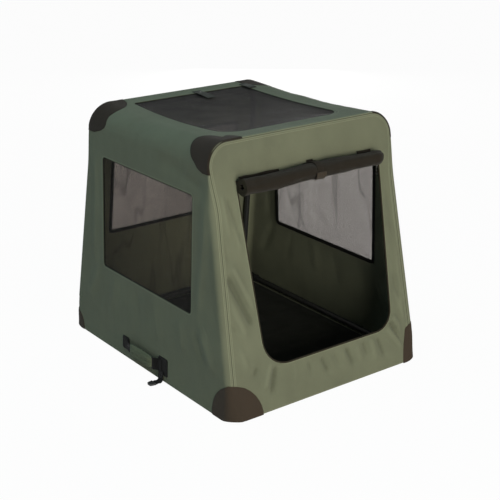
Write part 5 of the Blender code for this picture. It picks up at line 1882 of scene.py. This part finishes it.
def trim_corners(obj, box):
    """Delete the cells outside a patch's rounded corners."""
    take(obj)
    bpy.ops.object.mode_set(mode="EDIT")
    bm = bmesh.from_edit_mesh(obj.data)
    outside = []
    for face in bm.faces:
        place = face.calc_center_median()
        up = place.z - HANDLE_HEIGHT
        if box_distance(place.y, up, box, 0.007) > 0.0002:
            outside.append(face)
    bmesh.ops.delete(bm, geom=outside, context="FACES")
    bmesh.update_edit_mesh(obj.data)
    bpy.ops.object.mode_set(mode="OBJECT")


def puffed(obj, pressure, cap, voxel, frames=20):
    """Swell a closed pad with a short cloth simulation, and keep its result."""
    apply_modifier(obj, "REMESH", mode="VOXEL", voxel_size=voxel)
    before = [vert.co.copy() for vert in obj.data.vertices]
    take(obj)
    cloth = obj.modifiers.new("swell", "CLOTH")
    cloth.settings.quality = 5
    cloth.settings.use_pressure = True
    cloth.settings.uniform_pressure_force = pressure
    cloth.settings.tension_stiffness = 30
    cloth.settings.effector_weights.gravity = 0
    cloth.collision_settings.use_collision = False
    scene = bpy.context.scene
    for step in range(1, frames + 1):
        scene.frame_set(step)
    bpy.ops.object.modifier_apply(modifier=cloth.name)
    scene.frame_set(1)
    for vert, start in zip(obj.data.vertices, before):
        move = vert.co - start
        if move.length > cap:
            vert.co = start + move.normalized() * cap
    obj.data.update()


def make_grip():
    """Padded grip: a cloth sleeve round the webbing, swollen and drawn in at its ends."""
    deselect_all()
    low, high = GRIP_SPAN
    bpy.ops.mesh.primitive_cube_add(size=1.0)
    obj = added("handle_grip_pad")
    size = (high - low - 0.004, GRIP_TALL - 0.005, GRIP_THICKNESS - 0.004, 1)
    obj.data.transform(Matrix.Diagonal(size))
    edit_all(obj, bpy.ops.mesh.bevel, offset=0.0024, segments=3)
    puffed(obj, 4.0, 0.0016, 0.0022)
    half = (high - low) / 2
    for vert in obj.data.vertices:
        x, y, z = vert.co
        ends = smoothstep(0.0, 0.016, half - abs(x))
        z *= 0.62 + 0.48 * ends
        if z > 0:
            z += 0.0016 * exp(-((y - 0.004 - x * 0.05) / 0.0035) ** 2) * ends
            z -= 0.0014 * exp(-((y + 0.003 - x * 0.06) / 0.0030) ** 2) * ends
        y *= 1.0 + 0.05 * cos(x * 60) - 0.10 * (1 - ends)
        z += 0.0006 * noise.noise(Vector((x * 70, y * 60, z * 40)))
        vert.co = (x, y, z)
    middle = handle_place((low + high) / 2, 0.0, GRIP_LIFT)
    obj.data.transform(face_matrix(middle, Vector((0, -1, 0)), SKIRT_RISE))
    apply_modifier(obj, "SUBSURF", levels=1, render_levels=1)
    edit_all(obj, bpy.ops.uv.cube_project, cube_size=1.0)
    obj.data.uv_layers[0].name = "cloth"
    dress(obj, "grip_cloth", 60)
    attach(obj, "handle_grip")
    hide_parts("handle_grip")


def make_handle_web(name, anchor_edge, grip_end, way, tall, node):
    """Webbing from under an anchor to the grip's end, rounded as it leaves the skirt."""
    sewn = (anchor_edge, 0.0050)
    held = (grip_end - way * 0.0050, GRIP_LIFT - 0.0008)
    points = [
        (anchor_edge - way * 0.018, 0.0036), (anchor_edge - way * 0.004, 0.0037), sewn,
        (anchor_edge + way * 0.0035, 0.0090), held, (grip_end + way * 0.004, GRIP_LIFT),
    ]
    path = []
    for (y0, lift0), (y1, lift1) in zip(points, points[1:]):
        for step in range(4):
            share = step / 4
            lift = lift0 + (lift1 - lift0) * share
            path.append(handle_place(y0 + (y1 - y0) * share, 0.0, lift))
    path.append(handle_place(points[-1][0], 0.0, points[-1][1]))
    web = strip_object(
        name, path, SKIRT_RISE, tall, 0.0018, crown=0.0004, columns=8, offset=0.0
    )
    apply_modifier(web, "SMOOTH", factor=0.5, iterations=3)
    dress(web, "webbing_black", 60)
    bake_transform(web)
    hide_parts(node)


def make_closing_strap():
    """Strap from the front anchor over its turned edge and down on to the ground."""
    wall = -side_x(0) - 0.0049
    turn = 0.0075
    ground = 0.0010
    low = wall - turn
    end = -side_x(0) - STRAP_REACH
    path = []
    for up, lift in ((-0.014, 0.0042), (-0.019, 0.0048), (-0.025, 0.0047)):
        path.append(handle_place(STRAP_PLACE, up, lift))
    path.append(Vector((wall, STRAP_PLACE, ground + turn * 1.9)))
    for step in range(1, 9):
        angle = step / 8 * pi / 2
        x = wall - turn * (1 - cos(angle))
        path.append(Vector((x, STRAP_PLACE, ground + turn - turn * sin(angle))))
    for step in range(1, 9):
        share = step / 8
        lift = 0.0012 * sin(share * pi)
        path.append(Vector((low + (end - low) * share, STRAP_PLACE, ground + lift)))
    strap = strip_object(
        "closing_strap_web", path, Vector((0, 1, 0)), STRAP_WIDTH, 0.0017, crown=0.0003,
        columns=8, offset=0.0,
    )
    settle(strap, 0.0002)
    dress(strap, "webbing_black", 60)
    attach(strap, "base")
    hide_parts("closing_strap")


def make_mat():
    """Felted mat on the floor: bound edge, soft quilted squares."""
    low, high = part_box("floor_mat")
    half_x, half_y = (high[0] - low[0]) / 2, (high[1] - low[1]) / 2
    middle_y = (high[1] + low[1]) / 2
    rows = []
    for y in spaced(-half_y, half_y, 0.0065):
        into = max(MAT_CORNER - (half_y - abs(y)), 0.0)
        half = half_x - MAT_CORNER + sqrt(max(MAT_CORNER * MAT_CORNER - into * into, 0.0))
        row = []
        for share in spaced(-1.0, 1.0, 0.022):
            x = share * half
            gap = min(half_y - abs(y), half - abs(x))
            rim = 0.0016 * smoothstep(0.0, 0.004, gap)
            rim -= 0.0012 * exp(-((gap - 0.011) / 0.003) ** 2)
            quilt = abs(cos(pi * x / QUILT_PITCH)) * abs(cos(pi * (y - 0.02) / QUILT_PITCH))
            swell = 0.0022 * min(quilt * 2.2, 1.0) * smoothstep(0.010, 0.030, gap)
            row.append(Vector((x, y + middle_y, low[2] + 0.0026 + rim + swell)))
        rows.append(row)
    obj, _ = grid_object("floor_pad", rows)
    edit_all(obj, bpy.ops.mesh.extrude_region_move)
    for vert in obj.data.vertices:
        if vert.select:
            vert.co.z = low[2] + 0.0004
    edit_all(obj, bpy.ops.mesh.normals_make_consistent, inside=False)
    dress(obj, "mat_felt", 50)
    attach(obj, "base")
    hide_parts("floor_mat")


# Finishes of the frame's own solids

FRAME_FINISHES = (
    (("base_tube", "front_hoop_tube", "rear_hoop_tube"), "coated_steel"),
    (("corner_fitting", "knuckle", "strap_buckle"), "moulded_plastic"),
    (("hinge_pin", "lock_button", "zip_slider", "zip_pull"), "bright_steel"),
)


def finish_frame():
    """Give each node its finish by the start of its name."""
    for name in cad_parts:
        for starts, finish in FRAME_FINISHES:
            if name.startswith(starts):
                obj = bpy.data.objects[name]
                if not obj.material_slots:
                    obj.data.materials.append(finish_of(finish))
                for material_slot in obj.material_slots:
                    material_slot.material = finish_of(finish)


# Stage

def add_area(name, place, target, size, power, colour):
    deselect_all()
    bpy.ops.object.light_add(type="AREA", location=place)
    lamp = bpy.context.object
    lamp.name = name
    lamp.data.shape = "SQUARE"
    lamp.data.size = size
    lamp.data.energy = power
    lamp.data.color = colour
    direction = Vector(target) - Vector(place)
    lamp.rotation_euler = direction.to_track_quat("-Z", "Y").to_euler()


def seen_directly(recipe):
    """1 where the camera sees a surface, or sees it in gloss or through a clear one."""
    path = recipe.put("LightPath")
    seen = recipe.maths("MAXIMUM", path.outputs["Is Camera Ray"], path.outputs["Is Glossy Ray"])
    return recipe.maths("MAXIMUM", seen, path.outputs["Is Transmission Ray"])


def make_floor():
    deselect_all()
    bpy.ops.mesh.primitive_plane_add(size=14.0, location=(0, 0, -0.0006))
    floor = added("studio_floor")
    recipe = new_recipe("studio_floor_white")
    matt = recipe.put("BsdfDiffuse", {"Color": FLOOR_COLOUR})
    glow = recipe.put("Emission", {"Color": WHITE, "Strength": 1.0})
    share = recipe.maths("MULTIPLY", seen_directly(recipe), FLOOR_GLOW_SHARE)
    both = recipe.put("MixShader", {0: share, 1: matt.outputs[0], 2: glow.outputs[0]})
    floor.data.materials.append(recipe.finish(both.outputs[0]))


def make_world():
    world = bpy.data.worlds.new("studio_world")
    bpy.context.scene.world = world
    recipe = Recipe(world, "OutputWorld")
    soft = recipe.put("Background", {0: SKY_COLOUR, 1: SKY_STRENGTH}).outputs[0]
    white = recipe.put("Background", {0: WHITE, 1: 1.0}).outputs[0]
    both = recipe.put("MixShader", {0: seen_directly(recipe), 1: soft, 2: white})
    recipe.finish(both.outputs[0])


def make_camera():
    data = bpy.data.cameras.new("product_camera")
    data.lens = CAMERA_LENS
    data.sensor_width = 36.0
    camera = bpy.data.objects.new("product_camera", data)
    bpy.context.scene.collection.objects.link(camera)
    camera.location = CAMERA_PLACE
    camera.rotation_euler = [radians(value) for value in CAMERA_TURN]
    bpy.context.scene.camera = camera


# Operators

class CRATE_OT_stage(bpy.types.Operator):
    """Pale studio floor, plain soft light and the camera."""
    bl_idname = "crate.stage"
    bl_label = "Stage"

    def execute(self, context):
        context.scene.view_settings.view_transform = "Standard"
        make_world()
        make_floor()
        for light in LIGHTS:
            add_area(*light)
        make_camera()
        return {"FINISHED"}


class CRATE_OT_frame_finish(bpy.types.Operator):
    """Powder coat, moulded plastic and plated steel on the frame's own solids."""
    bl_idname = "crate.frame_finish"
    bl_label = "Frame finishes"

    def execute(self, context):
        finish_frame()
        return {"FINISHED"}


class CRATE_OT_cover(bpy.types.Operator):
    """Walls and roof, floor and skirts, front and rear of the cloth cover."""
    bl_idname = "crate.cover"
    bl_label = "Cover"

    def execute(self, context):
        make_tray()
        make_sleeve()
        make_front_panel()
        make_rear_panel()
        return {"FINISHED"}


class CRATE_OT_windows(bpy.types.Operator):
    """Window nets and the tapes that bind them."""
    bl_idname = "crate.windows"
    bl_label = "Windows"

    def execute(self, context):
        make_windows()
        return {"FINISHED"}


class CRATE_OT_door(bpy.types.Operator):
    """Door binding, zips, the rolled leaf and the tie that holds it."""
    bl_idname = "crate.door"
    bl_label = "Door"

    def execute(self, context):
        make_door_binding()
        make_zip(-1, "left")
        make_zip(1, "right")
        make_door_leaf()
        make_leaf_hem()
        make_door_tie()
        make_tie_tab()
        return {"FINISHED"}


class CRATE_OT_facings(bpy.types.Operator):
    """Dark facings over the shoulders and around the bottom corners."""
    bl_idname = "crate.facings"
    bl_label = "Corner facings"

    def execute(self, context):
        make_facings()
        return {"FINISHED"}


class CRATE_OT_roof_ties(bpy.types.Operator):
    """Two webbing ties that lie on the roof window."""
    bl_idname = "crate.roof_ties"
    bl_label = "Roof ties"

    def execute(self, context):
        for tie in ROOF_TIES:
            make_roof_tie(*tie)
        return {"FINISHED"}


class CRATE_OT_handle(bpy.types.Operator):
    """Carry handle with its padded grip, and the closing strap."""
    bl_idname = "crate.handle"
    bl_label = "Handle and strap"

    def execute(self, context):
        make_anchor("handle_patch_front", *FRONT_ANCHOR, "handle_anchor_front")
        make_anchor("handle_patch_rear", *REAR_ANCHOR, "handle_anchor_rear")
        make_handle_web(
            "handle_webbing_front", FRONT_ANCHOR[1], GRIP_SPAN[0], 1, FRONT_WEB_WIDTH,
            "handle_web_front",
        )
        make_handle_web(
            "handle_webbing_rear", REAR_ANCHOR[0], GRIP_SPAN[1], -1, REAR_WEB_WIDTH,
            "handle_web_rear",
        )
        make_grip()
        make_closing_strap()
        return {"FINISHED"}


class CRATE_OT_mat(bpy.types.Operator):
    """Felted mat on the floor."""
    bl_idname = "crate.mat"
    bl_label = "Floor mat"

    def execute(self, context):
        make_mat()
        return {"FINISHED"}


class CRATE_PT_panel(bpy.types.Panel):
    """Sidebar list of the crate's sizes, colours and building steps."""
    bl_idname = "CRATE_PT_panel"
    bl_label = "Folding dog crate"
    bl_space_type = "VIEW_3D"
    bl_region_type = "UI"
    bl_category = "Crate"

    def draw(self, context):
        column = self.layout.column()
        for group in (context.scene.crate_sizes, context.scene.crate_colours):
            for name in group.bl_rna.properties.keys():
                if name not in ("rna_type", "name"):
                    column.prop(group, name)
        for step in STEPS:
            column.operator(step.bl_idname)


STEPS = (
    CRATE_OT_stage, CRATE_OT_frame_finish, CRATE_OT_cover, CRATE_OT_windows, CRATE_OT_door,
    CRATE_OT_facings, CRATE_OT_roof_ties, CRATE_OT_handle, CRATE_OT_mat,
)
CLASSES = (CrateSizes, CrateColours, *STEPS, CRATE_PT_panel)


def register():
    for kind in CLASSES:
        bpy.utils.register_class(kind)
    bpy.types.Scene.crate_sizes = bpy.props.PointerProperty(type=CrateSizes)
    bpy.types.Scene.crate_colours = bpy.props.PointerProperty(type=CrateColours)


def unregister():
    del bpy.types.Scene.crate_colours
    del bpy.types.Scene.crate_sizes
    for kind in reversed(CLASSES):
        bpy.utils.unregister_class(kind)


def main():
    register()
    for step in (
        bpy.ops.crate.stage, bpy.ops.crate.frame_finish, bpy.ops.crate.cover,
        bpy.ops.crate.windows, bpy.ops.crate.door, bpy.ops.crate.facings,
        bpy.ops.crate.roof_ties, bpy.ops.crate.handle, bpy.ops.crate.mat,
    ):
        if step() != {"FINISHED"}:
            raise RuntimeError("a step of the crate did not finish")
    deselect_all()


if __name__ == "__main__":
    main()
